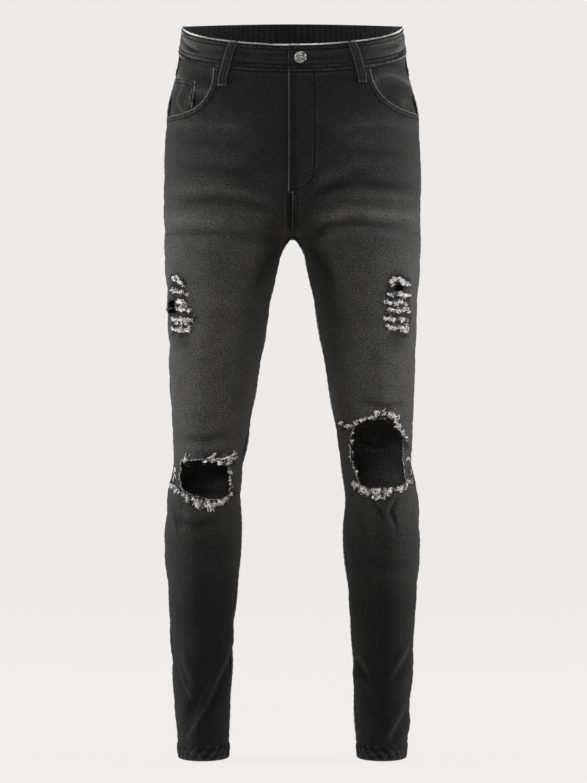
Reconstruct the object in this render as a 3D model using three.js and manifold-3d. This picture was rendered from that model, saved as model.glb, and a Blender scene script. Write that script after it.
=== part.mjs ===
// Ripped skinny jeans, worn form: a hollow garment standing in the shape it takes when filled out,
// open at the waist, the hems, the knees and the thigh rips.
// Millimetres, +Z up, the garment faces -Y and the wearer's left is +X.
// The origin is the middle of the waist opening, level with the top edge at the side seams.
import * as THREE from 'three';
import { mergeVertices } from 'three/addons/utils/BufferGeometryUtils.js';
import Module from 'manifold-3d';

const wasm = await Module();
wasm.setup();

// ---------------------------------------------------------------- driving sizes
const CLOTH = 1.6; // one layer of denim with its seam allowance behind it
const SEAM = 0.15; // each piece stops this far short of a seam, 0.3 between two
const LIE = 0.4; // gap under a piece that lies on another

// Half of the body at each height: how far out it reaches to the side, to the front and to the back.
const STATIONS = [
  { z: 20, outer: 150, front: 90, back: 92 },
  { z: 0, outer: 152, front: 92, back: 95 },
  { z: -60, outer: 161, front: 98, back: 106 },
  { z: -125, outer: 174, front: 106, back: 121 },
  { z: -190, outer: 178, front: 109, back: 130 },
  { z: -295, outer: 178, front: 105, back: 116 },
  { z: -400, outer: 173, front: 96, back: 98 },
  { z: -520, outer: 169, front: 82, back: 80 },
  { z: -605, outer: 165, front: 73, back: 66 },
  { z: -655, outer: 173, front: 70, back: 61 },
  { z: -725, outer: 177, front: 58, back: 66 },
  { z: -815, outer: 171, front: 50, back: 68 },
  { z: -940, outer: 164, front: 49, back: 57 },
  { z: -1019, outer: 158, front: 53, back: 55 },
];

// The inseam: how far it stands from the middle.
const INSEAM = [
  { z: -400, x: 33 },
  { z: -440, x: 40 },
  { z: -520, x: 54 },
  { z: -605, x: 68 },
  { z: -655, x: 74 },
  { z: -705, x: 71 },
  { z: -785, x: 78 },
  { z: -860, x: 84 },
  { z: -940, x: 87 },
  { z: -1019, x: 90 },
];

const CROTCH = -295; // where the four panels meet
const FORK = -205; // where the rise starts to turn under towards the crotch
const FORK_WEB = 34; // softness of the hollow between the thighs
const FORK_ARCH = 3.3; // the arch between the legs opens as this times the root of the drop
const ARCH_END = -440; // below this the inseam follows its own stations
const EASE_TOP = -150; // the hip oval eases into the ring of the leg from here
const EASE_END = -430; // to here
const EASE_WIDTH = 0.4; // and does so fully from this share of the width
const HIP_SQUARE = 2.4; // 2 is an ellipse, more is boxier
const LEG_END = -1000; // the hems go on from here
const COLUMNS = 9; // columns of cloth in each panel
const RISE_ROWS = 5; // rows of cloth from the top seam to the fork
const FORK_ROWS = 5; // and from the fork to the crotch
const ARCH_DROPS = [3, 12, 28, 52, 85, 120]; // rows of cloth below the crotch, by how far they drop
const LEG_ROWS = [
  -450, -485, -520, -550, -575, -598, -620, -642, -664, -690, -725, -765, -805, -840, -870, -898,
  -925, -950, -975,
];

// The largest folds: soft troughs at a turn and height, which run tilt up or down for a whole turn.
const FOLDS = [
  { turn: 0.17, z: -226, tilt: 150, wide: 0.13, high: 12, deep: 3 }, // from the fork up to the hip
  { turn: 0.74, z: -318, tilt: -60, wide: 0.16, high: 13, deep: 4 }, // under the seat
  { turn: 0.76, z: -598, tilt: 60, wide: 0.15, high: 12, deep: 4 }, // behind the knee
  { turn: 0.72, z: -642, tilt: -60, wide: 0.15, high: 12, deep: 4 },
  { turn: 0.3, z: -870, tilt: 140, wide: 0.14, high: 12, deep: 3 }, // above the hem
  { turn: 0.64, z: -898, tilt: -120, wide: 0.16, high: 12, deep: 4 },
  { turn: 0.3, z: -950, tilt: -120, wide: 0.15, high: 12, deep: 3 },
  { turn: 0.78, z: -950, tilt: 100, wide: 0.14, high: 12, deep: 4 },
];

// The band's ends reach lap and tail past the middle; the tail's cloth is under deeper, from tuck on.
const BAND = { height: 39, frontDip: 35, backRise: 13, out: 1.2, lap: 6, tail: 30, tuck: 40, under: 3.8 };
const YOKE = { side: 30, middle: 70 };
const HEM = { bottom: -1019, out: 0.8, in: 2.2 };
const FLY = { edge: -6, side: 36, straight: -208, bottom: -240, wall: 1.4 };
const POCKET_MOUTH_LEFT = { x: 172, z: -64, wide: 65, deep: 60, squareness: 2.05 };
const POCKET_MOUTH_RIGHT = { x: 172, z: -64, wide: 63.5, deep: 64, squareness: 2.5 };
const MOUTH_POINTS = 80;
const FACING = { margin: 12, wall: 1.4, under: 2.1 };
const COIN = { inner: 135, outer: 166, top: -73, slope: 8, bottom: -136, wall: 1.5 };
const BACK_POCKET = { inner: 24, outer: 140, top: -120, rise: 9, deep: 118, tip: 26, wall: 1.4 };
const LOOP = { width: 14, wall: 1.8, stand: 6.2, below: 19, foot: 0.08, bend: 0.15 };
const BUTTON = { x: 11, z: -54, radius: 8.5, head: 3.2, rim: 0.9, shank: 2, stand: 1.4, sides: 20 };
const BUTTONHOLE = { wide: 20, high: 4.8, clear: 0.5 };

// ---------------------------------------------------------------- colours
const DENIM = { color: 0x2e2e30, roughness: 0.92, metalness: 0 };
const DENIM_WORN = { color: 0x3c3c3e, roughness: 0.93, metalness: 0 };
const METAL = { color: 0xa8a8a6, roughness: 0.35, metalness: 1 };

// ---------------------------------------------------------------- the form
// A smooth curve through a list of stations, read at height z.
function along(list, key, z) {
  const last = list.length - 2;
  let i = 0;
  while (i < last && z < list[i + 1].z) i += 1;
  const [a, b] = [list[i], list[i + 1]];
  const before = list[Math.max(i - 1, 0)];
  const after = list[Math.min(i + 2, last + 1)];
  const span = b.z - a.z;
  const s = THREE.MathUtils.clamp((z - a.z) / span, 0, 1);
  const startSlope = ((b[key] - before[key]) / (b.z - before.z)) * span;
  const endSlope = ((after[key] - a[key]) / (after.z - a.z)) * span;
  const s2 = s * s;
  const s3 = s2 * s;
  return (
    a[key] * (2 * s3 - 3 * s2 + 1) +
    startSlope * (s3 - 2 * s2 + s) +
    b[key] * (3 * s2 - 2 * s3) +
    endSlope * (s3 - s2)
  );
}

// How far below the crotch the legs stand apart at the inseam.
function inseam(z) {
  if (z >= CROTCH) return 0;
  if (z >= ARCH_END) return FORK_ARCH * Math.sqrt(CROTCH - z);
  return along(INSEAM, 'x', z);
}

// How far the folds pull the cloth in at a turn and height.
function folded(turn, z) {
  let pull = 0;
  for (const fold of FOLDS) {
    const along = (turn - fold.turn) / fold.wide;
    const off = (z - fold.z - fold.tilt * (turn - fold.turn)) / fold.high;
    pull += fold.deep * Math.exp(-along * along - off * off);
  }
  return pull;
}

// A point on the outside of the left half. turn runs from 0 at the centre front, or at the inseam,
// through 0.5 at the side seam to 1 at the centre back, or at the inseam again. Level sections are
// one hip oval above the fork and a ring for the leg below it. Near the middle the rise turns under
// in a quarter round, and towards the side the oval eases into the ring over the whole thigh.
function skin(turn, z) {
  const outer = along(STATIONS, 'outer', z);
  const front = along(STATIONS, 'front', z);
  const back = along(STATIONS, 'back', z);
  const inner = inseam(z);
  const across = (1 - Math.cos(2 * Math.PI * turn)) / 2;
  const drop = THREE.MathUtils.clamp((FORK - z) / (FORK - CROTCH), 0, 1);
  const round = Math.sqrt(1 - drop * drop);
  const eased = THREE.MathUtils.smoothstep(-z, -EASE_TOP, -EASE_END);
  const aside = THREE.MathUtils.smoothstep(across, 0, EASE_WIDTH);
  const ringed = THREE.MathUtils.lerp(1 - round, eased, aside);
  const web = (FORK_WEB * round) / outer;
  const near = Math.min(Math.sqrt(across * across + web * web * (1 - across * across)), 1);
  const hip = (1 - across ** HIP_SQUARE) ** (1 / HIP_SQUARE);
  const ring = 2 * Math.sqrt(near * (1 - near));
  const reach = (1 - ringed) * hip + ringed * ring;
  const middle = (back - front) / 2;
  const depth = (back + front) / 2 - folded(turn, z);
  const way = turn < 0.5 ? -1 : 1;
  return new THREE.Vector3(inner + (outer - inner) * across, middle + way * depth * reach, z);
}

// Height of the waistband's top edge, of the waist seam and of the yoke seam.
function waistTop(turn) {
  const across = (1 - Math.cos(2 * Math.PI * turn)) / 2;
  const reach = Math.sqrt(1 - across * across);
  return turn < 0.5 ? -BAND.frontDip * reach : BAND.backRise * reach;
}

const waistSeam = (turn) => waistTop(turn) - BAND.height;

function yokeSeam(turn) {
  const toBack = THREE.MathUtils.clamp(2 * turn - 1, 0, 1);
  return waistSeam(turn) - THREE.MathUtils.lerp(YOKE.side, YOKE.middle, toBack);
}

// ---------------------------------------------------------------- walls of cloth
// The heights of a panel's rows: from its top seam to the fork, round the fork, down the leg.
function panelRows(topSeam) {
  const rows = [];
  for (let k = 0; k <= RISE_ROWS; k += 1) {
    rows.push((turn) => THREE.MathUtils.lerp(topSeam(turn), FORK, k / RISE_ROWS));
  }
  for (let k = 1; k <= FORK_ROWS; k += 1) {
    const z = FORK - (FORK - CROTCH) * Math.sin((k / FORK_ROWS) * (Math.PI / 2));
    rows.push(() => z);
  }
  for (const drop of ARCH_DROPS) rows.push(() => CROTCH - drop);
  for (const z of [...LEG_ROWS, LEG_END]) rows.push(() => z);
  return rows;
}

const mirrored = (p) => new THREE.Vector3(-p.x, p.y, p.z);

// Points and outward directions of the left half on a grid of turns and rows. Both panels beside a
// seam read the same directions there, so their walls end on one plane.
function layOut(turns, rows) {
  const points = rows.map((row) => turns.map((turn) => skin(turn, row(turn))));
  const last = turns.length - 1;
  const whole = turns[0] === 0 && turns[last] === 1;
  const normals = points.map((line, j) =>
    line.map((p, i) => {
      const open = p.z >= CROTCH;
      let before = line[Math.max(i - 1, 0)];
      let after = line[Math.min(i + 1, last)];
      if (turns[i] === 0) before = open || !whole ? mirrored(line[1]) : line[last - 1];
      if (turns[i] === 1) after = open || !whole ? mirrored(line[last - 1]) : line[1];
      const above = points[Math.max(j - 1, 0)][i];
      const below = points[Math.min(j + 1, points.length - 1)][i];
      if (p.z === CROTCH && (turns[i] === 0 || turns[i] === 1)) return new THREE.Vector3(0, 0, -1);
      const sideways = after.clone().sub(before);
      const up = above.clone().sub(below);
      return sideways.cross(up).normalize();
    }),
  );
  return { points, normals, turns };
}

// Part of a laid out grid, between two turns.
function between(grid, from, to) {
  const keep = (line) => line.filter((_, i) => grid.turns[i] >= from && grid.turns[i] <= to);
  return { points: grid.points.map(keep), normals: grid.normals.map(keep) };
}

// A closed wall on a grid, from one offset to another, pulled in by SEAM at its edges. Offsets may be
// functions of the row and column. A ring has no side edges, and a joined wall keeps its middle edge.
function wall(grid, inside, outside, { ring = false, joined = false } = {}) {
  const { points, normals } = grid;
  const rows = points.length;
  const columns = points[0].length;
  const offset = (value, j, i) => (typeof value === 'function' ? value(j, i) : value);
  const drawn = points.map((line, j) =>
    line.map((p, i) => {
      const q = p.clone();
      const pull = (other) => q.add(other.clone().sub(p).setLength(SEAM));
      if (j === 0) pull(points[1][i]);
      if (j === rows - 1) pull(points[j - 1][i]);
      if (!ring && !joined && i === 0) pull(line[1]);
      if (!ring && i === columns - 1) pull(line[i - 1]);
      return q;
    }),
  );
  const position = [];
  const place = (value) =>
    drawn.forEach((line, j) =>
      line.forEach((p, i) => {
        const q = p.clone().addScaledVector(normals[j][i], offset(value, j, i));
        position.push(q.x, q.y, q.z);
      }),
    );
  place(outside);
  place(inside);
  const outer = (j, i) => j * columns + (i % columns);
  const inner = (j, i) => rows * columns + outer(j, i);
  const faces = [];
  const quad = (a, b, c, d) => faces.push(a, b, c, a, c, d);
  const spans = ring ? columns : columns - 1;
  for (let i = 0; i < spans; i += 1) {
    for (let j = 0; j < rows - 1; j += 1) {
      quad(outer(j, i), outer(j + 1, i), outer(j + 1, i + 1), outer(j, i + 1));
      quad(inner(j, i), inner(j, i + 1), inner(j + 1, i + 1), inner(j + 1, i));
    }
    quad(outer(0, i), outer(0, i + 1), inner(0, i + 1), inner(0, i));
    quad(outer(rows - 1, i + 1), outer(rows - 1, i), inner(rows - 1, i), inner(rows - 1, i + 1));
  }
  if (!ring) {
    for (let j = 0; j < rows - 1; j += 1) {
      quad(outer(j + 1, 0), outer(j, 0), inner(j, 0), inner(j + 1, 0));
      quad(outer(j, spans), outer(j + 1, spans), inner(j + 1, spans), inner(j, spans));
    }
  }
  return solid(position, faces);
}

function solid(position, faces) {
  const mesh = new wasm.Mesh({
    numProp: 3,
    vertProperties: new Float32Array(position),
    triVerts: new Uint32Array(faces),
  });
  mesh.merge();
  return new wasm.Manifold(mesh);
}

// The right half is the left half turned over across the middle.
function toRight(form) {
  return form.mirror([1, 0, 0]);
}

// A bar with an outline in X and Z, which runs through the front (way -1) or the back (way 1).
function bar(outline, way) {
  const reach = 200;
  const geometry = new THREE.ExtrudeGeometry(outline, {
    depth: reach,
    bevelEnabled: false,
    curveSegments: 8,
  });
  geometry.rotateX(Math.PI / 2);
  if (way > 0) geometry.translate(0, reach, 0);
  return fromGeometry(geometry);
}

function fromGeometry(geometry) {
  geometry.deleteAttribute('normal');
  geometry.deleteAttribute('uv');
  const merged = mergeVertices(geometry, 1e-4);
  return solid(merged.attributes.position.array, merged.index.array);
}

function outlineThrough(points) {
  return new THREE.Shape(points.map(([x, z]) => new THREE.Vector2(x, z)));
}

function roundOutline(points) {
  const curve = new THREE.CatmullRomCurve3(
    points.map(([x, z]) => new THREE.Vector3(x, z, 0)),
    true,
    'centripetal',
  );
  const around = curve.getPoints(points.length * 2).slice(0, -1);
  return outlineThrough(around.map((p) => [p.x, p.y]));
}

// A pocket mouth is a rounded oval, of which the panel keeps the inner lower quarter.
function mouthOutline(mouth, margin) {
  const rounded = (value, half) => half * Math.sign(value) * Math.abs(value) ** (2 / mouth.squareness);
  const points = [];
  for (let i = 0; i < MOUTH_POINTS; i += 1) {
    const angle = (2 * Math.PI * i) / MOUTH_POINTS;
    const x = mouth.x + rounded(Math.cos(angle), mouth.wide + margin);
    const z = mouth.z + rounded(Math.sin(angle), mouth.deep + margin);
    points.push(new THREE.Vector2(x, z));
  }
  return new THREE.Shape(points);
}

// ---------------------------------------------------------------- the object
const jeans = new THREE.Group();

function addPiece(name, form, finish) {
  const mesh = form.getMesh();
  const geometry = new THREE.BufferGeometry();
  geometry.setAttribute('position', new THREE.BufferAttribute(mesh.vertProperties, 3));
  geometry.setIndex(new THREE.BufferAttribute(mesh.triVerts, 1));
  geometry.computeVertexNormals();
  const piece = new THREE.Mesh(geometry, new THREE.MeshStandardMaterial(finish));
  piece.name = name;
  jeans.add(piece);
}

// ---------------------------------------------------------------- holes
// Outlines in X and Z, named by the wearer's side.
const KNEE_HOLE_RIGHT = roundOutline([
  [-151, -609],
  [-134, -605],
  [-108, -606],
  [-92, -614],
  [-89, -634],
  [-94, -651],
  [-118, -658],
  [-144, -655],
  [-155, -636],
]);
const KNEE_HOLE_LEFT = roundOutline([
  [82, -566],
  [103, -546],
  [128, -546],
  [147, -567],
  [153, -598],
  [150, -632],
  [124, -643],
  [98, -636],
  [84, -604],
]);
const THIGH_RIP_RIGHT = roundOutline([
  [-167, -374],
  [-158, -384],
  [-150, -405],
  [-153, -423],
  [-164, -427],
  [-169, -402],
]);
const THIGH_RIP_LEFT = roundOutline([
  [139, -361],
  [153, -362],
  [151, -388],
  [146, -414],
  [138, -413],
  [141, -388],
]);

// ---------------------------------------------------------------- legs and rise
const turnsOf = (from, to, count) =>
  Array.from({ length: count + 1 }, (_, k) => THREE.MathUtils.lerp(from, to, k / count));
const aroundHalf = turnsOf(0, 1, 2 * COLUMNS);
const frontHalf = layOut(aroundHalf, panelRows(waistSeam));
const backHalf = layOut(aroundHalf, panelRows(yokeSeam));
const frontGrid = between(frontHalf, 0, 0.5);
const backGrid = between(backHalf, 0.5, 1);

const frontWhole = wall(frontGrid, -CLOTH, 0);
const frontPanel = (mouth) => frontWhole.subtract(bar(mouthOutline(mouth, 0), -1));
const backPanel = wall(backGrid, -CLOTH, 0);

addPiece(
  'front_left',
  frontPanel(POCKET_MOUTH_LEFT)
    .subtract(bar(KNEE_HOLE_LEFT, -1))
    .subtract(bar(THIGH_RIP_LEFT, -1)),
  DENIM_WORN,
);
addPiece(
  'front_right',
  toRight(frontPanel(POCKET_MOUTH_RIGHT))
    .subtract(bar(KNEE_HOLE_RIGHT, -1))
    .subtract(bar(THIGH_RIP_RIGHT, -1)),
  DENIM_WORN,
);
addPiece('back_left', backPanel, DENIM_WORN);
addPiece('back_right', toRight(backPanel), DENIM_WORN);

// ---------------------------------------------------------------- yokes
const yokeRows = [waistSeam, (turn) => (waistSeam(turn) + yokeSeam(turn)) / 2, yokeSeam];
const yoke = wall(between(layOut(aroundHalf, yokeRows), 0.5, 1), -CLOTH, 0);
addPiece('yoke_left', yoke, DENIM);
addPiece('yoke_right', toRight(yoke), DENIM);

// ---------------------------------------------------------------- waistband
// The turn at which the skin is x away from the middle, at the height of the waistband.
function turnAt(x) {
  const outer = along(STATIONS, 'outer', BUTTON.z);
  return Math.acos(1 - (2 * x) / outer) / (2 * Math.PI);
}

// Level outward direction of the left half, for pieces that stand on the waist.
function levelOut(turn, z) {
  const step = 0.004;
  if (turn <= step) return new THREE.Vector3(0, -1, 0);
  if (turn >= 1 - step) return new THREE.Vector3(0, 1, 0);
  const ahead = skin(turn + step, z);
  const behind = skin(turn - step, z);
  return new THREE.Vector3(ahead.y - behind.y, behind.x - ahead.x, 0).normalize();
}

// One strip: its over end laps across the middle and holds the buttonhole. It runs round by the
// left side, the back and the right side, and its tail tucks in under the over end.
function bandStops() {
  const within = (from, to) => aroundHalf.filter((turn) => turn > from && turn < to);
  const lap = turnAt(BAND.lap);
  const tail = turnAt(BAND.tail);
  const over = (side) => (turn) => ({ side, turn, sunk: 0 });
  const under = (side) => (turn) => ({ side, turn, sunk: BAND.under });
  return [
    ...[lap, ...within(0, lap).reverse()].map(over(-1)),
    ...aroundHalf.map(over(1)),
    ...within(turnAt(BAND.tuck), 1).reverse().map(over(-1)),
    { side: -1, turn: turnAt(BAND.tail), sunk: BAND.under / 2 },
    ...[...within(0, tail).reverse(), 0].map(under(-1)),
    ...[...within(0, tail), tail].map(under(1)),
  ];
}

function waistband() {
  const stops = bandStops();
  const rows = [waistTop, (turn) => waistTop(turn) - BAND.height / 2, waistSeam];
  const onSide = (v, side) => (side > 0 ? v : mirrored(v));
  const grid = {
    points: rows.map((row) => stops.map(({ side, turn }) => onSide(skin(turn, row(turn)), side))),
    normals: rows.map((row) =>
      stops.map(({ side, turn }) => onSide(levelOut(turn, row(turn)), side)),
    ),
  };
  return wall(
    grid,
    (_, i) => -stops[i].sunk - CLOTH,
    (_, i) => -stops[i].sunk + BAND.out,
  );
}

// The slot goes through the over end only.
function buttonhole() {
  const reach = 8;
  const behind = BAND.under - BAND.out - BUTTONHOLE.clear;
  const slot = new THREE.BoxGeometry(BUTTONHOLE.wide, reach, BUTTONHOLE.high);
  slot.translate(BUTTON.x, buttonSeat() + behind - reach / 2, BUTTON.z);
  return fromGeometry(slot);
}

// Where the plain waistband's skin is at the button.
function buttonSeat() {
  return skin(turnAt(BUTTON.x), BUTTON.z).y;
}

addPiece('waistband', waistband().subtract(buttonhole()), DENIM);

// ---------------------------------------------------------------- button
// A shank button: the shank stands on the tail and comes through the buttonhole.
function button() {
  const base = BAND.under - BAND.out - BUTTONHOLE.clear;
  const { radius, shank, rim, stand } = BUTTON;
  const head = base + BAND.out + stand;
  const top = head + BUTTON.head;
  const profile = [
    [0, 0],
    [shank, 0],
    [shank, head],
    [radius - rim, head],
    [radius, head + rim],
    [radius, top - rim],
    [radius - rim, top],
    [radius - 2 * rim, top],
    [radius - 3 * rim, top - rim / 2],
    [0, top - rim / 2],
  ].map(([r, y]) => new THREE.Vector2(r, y));
  const turned = new THREE.LatheGeometry(profile, BUTTON.sides);
  turned.rotateX(Math.PI);
  turned.translate(BUTTON.x, buttonSeat() + base, BUTTON.z);
  return fromGeometry(turned);
}

addPiece('button', button(), METAL);

// ---------------------------------------------------------------- fly
// A flap on the fronts: its left edge is stitched in a J, its right edge laps over the middle.
function flyFlap() {
  const outline = new THREE.Shape();
  const { edge, side, straight, bottom } = FLY;
  outline.moveTo(edge, 0);
  outline.lineTo(edge, bottom);
  outline.lineTo(0, bottom);
  outline.absellipse(0, straight, side, straight - bottom, -Math.PI / 2, 0, false, 0);
  outline.lineTo(side, 0);
  const layer = wall(frontGrid, LIE, LIE + FLY.wall, { joined: true });
  return layer.add(toRight(layer)).intersect(bar(outline, -1));
}

addPiece('fly', flyFlap(), DENIM);

// ---------------------------------------------------------------- front pockets
function facing(mouth, under) {
  const layer = wall(frontGrid, -under - FACING.wall, -under);
  return layer.intersect(bar(mouthOutline(mouth, FACING.margin), -1));
}

function coinPocket() {
  const { inner, outer, top, slope, bottom } = COIN;
  const layer = wall(frontGrid, -FACING.under - COIN.wall, -FACING.under);
  const outline = outlineThrough([
    [inner, top - slope],
    [inner + 4, bottom],
    [outer + 4, bottom],
    [outer, top],
  ]);
  return layer.intersect(bar(outline, -1));
}

const underCoin = FACING.under + COIN.wall + LIE;
addPiece('pocket_facing_left', facing(POCKET_MOUTH_LEFT, FACING.under), DENIM);
addPiece('pocket_facing_right', toRight(facing(POCKET_MOUTH_RIGHT, underCoin)), DENIM);
addPiece('coin_pocket', toRight(coinPocket()), DENIM);

// ---------------------------------------------------------------- back pockets
function backPocket() {
  const { inner, outer, top, rise, deep, tip } = BACK_POCKET;
  const outline = outlineThrough([
    [inner, top - rise],
    [outer, top],
    [outer - 6, top - deep],
    [(inner + outer) / 2, top - deep - tip],
    [inner + 6, top - rise - deep],
  ]);
  return wall(backGrid, LIE, LIE + BACK_POCKET.wall).intersect(bar(outline, 1));
}

addPiece('back_pocket_left', backPocket(), DENIM_WORN);
addPiece('back_pocket_right', toRight(backPocket()), DENIM_WORN);

// ---------------------------------------------------------------- belt loops
// A strap sewn down at both ends, standing off the waistband between them so that a belt passes.
function beltLoop(topX, bottomX, way) {
  const turnOn = (x) => (way < 0 ? turnAt(x) : 1 - turnAt(x));
  const onBand = BAND.out + LIE;
  const stops = [
    { s: 0, off: onBand },
    { s: LOOP.foot, off: onBand },
    { s: LOOP.bend, off: onBand + LOOP.stand - 1 },
    { s: 0.5, off: onBand + LOOP.stand },
    { s: 1 - LOOP.bend, off: onBand + LOOP.stand - 1 },
    { s: 1 - LOOP.foot, off: LIE },
    { s: 1, off: LIE },
  ];
  const points = [];
  const normals = [];
  for (const { s } of stops) {
    const turn = turnOn(THREE.MathUtils.lerp(topX, bottomX, s));
    const z = THREE.MathUtils.lerp(waistTop(turn) - 1, waistSeam(turn) - LOOP.below, s);
    const out = levelOut(turn, z);
    const sideways = new THREE.Vector3(-out.y, out.x, 0).multiplyScalar(LOOP.width / 2);
    const p = skin(turn, z);
    points.push([p.clone().sub(sideways), p.clone().add(sideways)]);
    normals.push([out, out]);
  }
  return wall(
    { points, normals },
    (j) => stops[j].off,
    (j) => stops[j].off + LOOP.wall,
  );
}

const frontLoop = beltLoop(82, 92, -1);
const backLoop = beltLoop(96, 98, 1);
addPiece('belt_loop_front_left', frontLoop, DENIM);
addPiece('belt_loop_front_right', toRight(frontLoop), DENIM);
addPiece('belt_loop_back_left', backLoop, DENIM);
addPiece('belt_loop_back_right', toRight(backLoop), DENIM);
addPiece('belt_loop_back_middle', beltLoop(0, 0, 1), DENIM);

// ---------------------------------------------------------------- hems
function hem() {
  const laid = layOut(aroundHalf, [() => LEG_END, () => HEM.bottom]);
  const open = (line) => line.slice(0, -1);
  const grid = { points: laid.points.map(open), normals: laid.normals.map(open) };
  return wall(grid, -HEM.in, HEM.out, { ring: true });
}

addPiece('hem_left', hem(), DENIM);
addPiece('hem_right', toRight(hem()), DENIM);

export default jeans;
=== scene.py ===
"""Ripped skinny jeans in washed black denim, standing in the shape they take when worn.

Metres, +Z up. The garment faces -Y and the wearer's left is +X. Each cloth piece is a flat grid that
is cut while flat, laid on the form of the body, creased, and given its thickness.
"""

import math

import bmesh
import bpy
import numpy as np
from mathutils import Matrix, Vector


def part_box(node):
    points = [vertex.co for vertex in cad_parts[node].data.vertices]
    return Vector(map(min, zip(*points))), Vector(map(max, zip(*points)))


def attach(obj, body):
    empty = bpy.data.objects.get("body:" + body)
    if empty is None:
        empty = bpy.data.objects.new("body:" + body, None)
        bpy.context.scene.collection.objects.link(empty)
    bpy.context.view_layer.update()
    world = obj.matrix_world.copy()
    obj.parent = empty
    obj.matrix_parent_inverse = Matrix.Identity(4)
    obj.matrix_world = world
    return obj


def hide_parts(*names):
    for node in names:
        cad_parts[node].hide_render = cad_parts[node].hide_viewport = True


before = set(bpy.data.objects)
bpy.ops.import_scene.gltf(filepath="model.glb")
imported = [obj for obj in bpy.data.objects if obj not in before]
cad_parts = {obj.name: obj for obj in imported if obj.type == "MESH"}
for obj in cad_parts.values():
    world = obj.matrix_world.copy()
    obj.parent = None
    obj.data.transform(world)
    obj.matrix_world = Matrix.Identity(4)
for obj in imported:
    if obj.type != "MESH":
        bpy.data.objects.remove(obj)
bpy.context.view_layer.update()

dice = np.random.default_rng(7)

LEFT, RIGHT, BOTH = 1, -1, 0  # the wearer's sides
SIDE_NAME = {LEFT: "left", RIGHT: "right"}
FRONT, BACK = -1, 1
MM = 0.001

# ---------------------------------------------------------------- the form of the body
# Height, then how far the half body reaches to the side, to the front and to the back.
STATIONS = np.array([
    (0.020, 0.150, 0.090, 0.092),
    (0.000, 0.152, 0.092, 0.095),
    (-0.060, 0.161, 0.098, 0.106),
    (-0.125, 0.174, 0.106, 0.121),
    (-0.190, 0.178, 0.109, 0.130),
    (-0.295, 0.178, 0.105, 0.116),
    (-0.400, 0.173, 0.096, 0.098),
    (-0.520, 0.169, 0.082, 0.080),
    (-0.605, 0.165, 0.073, 0.066),
    (-0.655, 0.173, 0.070, 0.061),
    (-0.725, 0.177, 0.058, 0.066),
    (-0.815, 0.171, 0.050, 0.068),
    (-0.940, 0.164, 0.049, 0.057),
    (-1.019, 0.158, 0.053, 0.055),
])
# Height, then how far the inseam stands from the middle.
INSEAM = np.array([
    (-0.400, 0.033), (-0.440, 0.040), (-0.520, 0.054), (-0.605, 0.068), (-0.655, 0.074),
    (-0.705, 0.071), (-0.785, 0.078), (-0.860, 0.084), (-0.940, 0.087), (-1.019, 0.090),
])
CROTCH = -0.295
FORK = -0.205
FORK_WEB = 0.034
FORK_ARCH = 3.3 * math.sqrt(MM)
ARCH_END = -0.440
EASE_TOP, EASE_END, EASE_WIDTH = 0.150, 0.430, 0.4
HIP_SQUARE = 2.4
LEG_END = -1.000
HEM_END = -1.019
BAND_HEIGHT = 0.039
FRONT_DIP, BACK_RISE = 0.035, 0.013
YOKE_SIDE, YOKE_MIDDLE = 0.030, 0.070

# Soft folds on both sides: turn, height, tilt, width, height of the trough and its depth.
FOLDS = (
    (0.17, -0.226, 0.150, 0.13, 0.012, 0.003),
    (0.74, -0.318, -0.060, 0.16, 0.013, 0.004),
    (0.76, -0.598, 0.060, 0.15, 0.012, 0.004),
    (0.72, -0.642, -0.060, 0.15, 0.012, 0.004),
    (0.30, -0.870, 0.140, 0.14, 0.012, 0.003),
    (0.64, -0.898, -0.120, 0.16, 0.012, 0.004),
    (0.30, -0.950, -0.120, 0.15, 0.012, 0.003),
    (0.78, -0.950, 0.100, 0.14, 0.012, 0.004),
)


def smoothstep(x, low, high):
    t = np.clip((x - low) / (high - low), 0, 1)
    return t * t * (3 - 2 * t)


def along(table, column, z):
    """A smooth curve through a table of stations, read at the heights z."""
    heights, values = table[:, 0], table[:, column]
    count = len(heights)
    i = np.clip(np.searchsorted(-heights, -z, side="left") - 1, 0, count - 2)
    before, after = np.maximum(i - 1, 0), np.minimum(i + 2, count - 1)
    span = heights[i + 1] - heights[i]
    s = np.clip((z - heights[i]) / span, 0, 1)
    start = (values[i + 1] - values[before]) / (heights[i + 1] - heights[before]) * span
    end = (values[after] - values[i]) / (heights[after] - heights[i]) * span
    return (
        values[i] * (2 * s**3 - 3 * s**2 + 1)
        + start * (s**3 - 2 * s**2 + s)
        + values[i + 1] * (3 * s**2 - 2 * s**3)
        + end * (s**3 - s**2)
    )


def inseam(z):
    """How far the inseam stands from the middle: an arch under the fork, then the stations."""
    arch = FORK_ARCH * np.sqrt(np.clip(CROTCH - z, 0, None))
    return np.where(z >= ARCH_END, arch, along(INSEAM, 1, z))


# The inseam as the cloth away from it feels it, so that the fork draws no line across the hips.
SOFT_STEP, SOFT_WIDTH, SOFT_COUNT = 0.002, 0.030, 40
SOFT_HEIGHTS = np.arange(0.05, -1.08, -SOFT_STEP)
_reach = np.exp(-((np.arange(-SOFT_COUNT, SOFT_COUNT + 1) * SOFT_STEP / SOFT_WIDTH) ** 2))
_padded = np.pad(inseam(SOFT_HEIGHTS), SOFT_COUNT, "edge")
SOFT_INSEAM = np.convolve(_padded, _reach / _reach.sum(), "valid")
SOFT_END, SOFT_START = -0.52, -0.40
FORK_SPREAD = 0.09


def inner_at(across, z):
    """The inseam that counts for cloth at a share of the way across to the side seam."""
    inner = inseam(z)
    soft = np.interp(-z, -SOFT_HEIGHTS, SOFT_INSEAM)
    soft = inner + (soft - inner) * smoothstep(z, SOFT_END, SOFT_START)
    return soft + (inner - soft) * np.exp(-across / FORK_SPREAD)


def across_at(turn):
    """The share of the way from the middle to the side seam."""
    return (1 - np.cos(2 * np.pi * turn)) / 2


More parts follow.
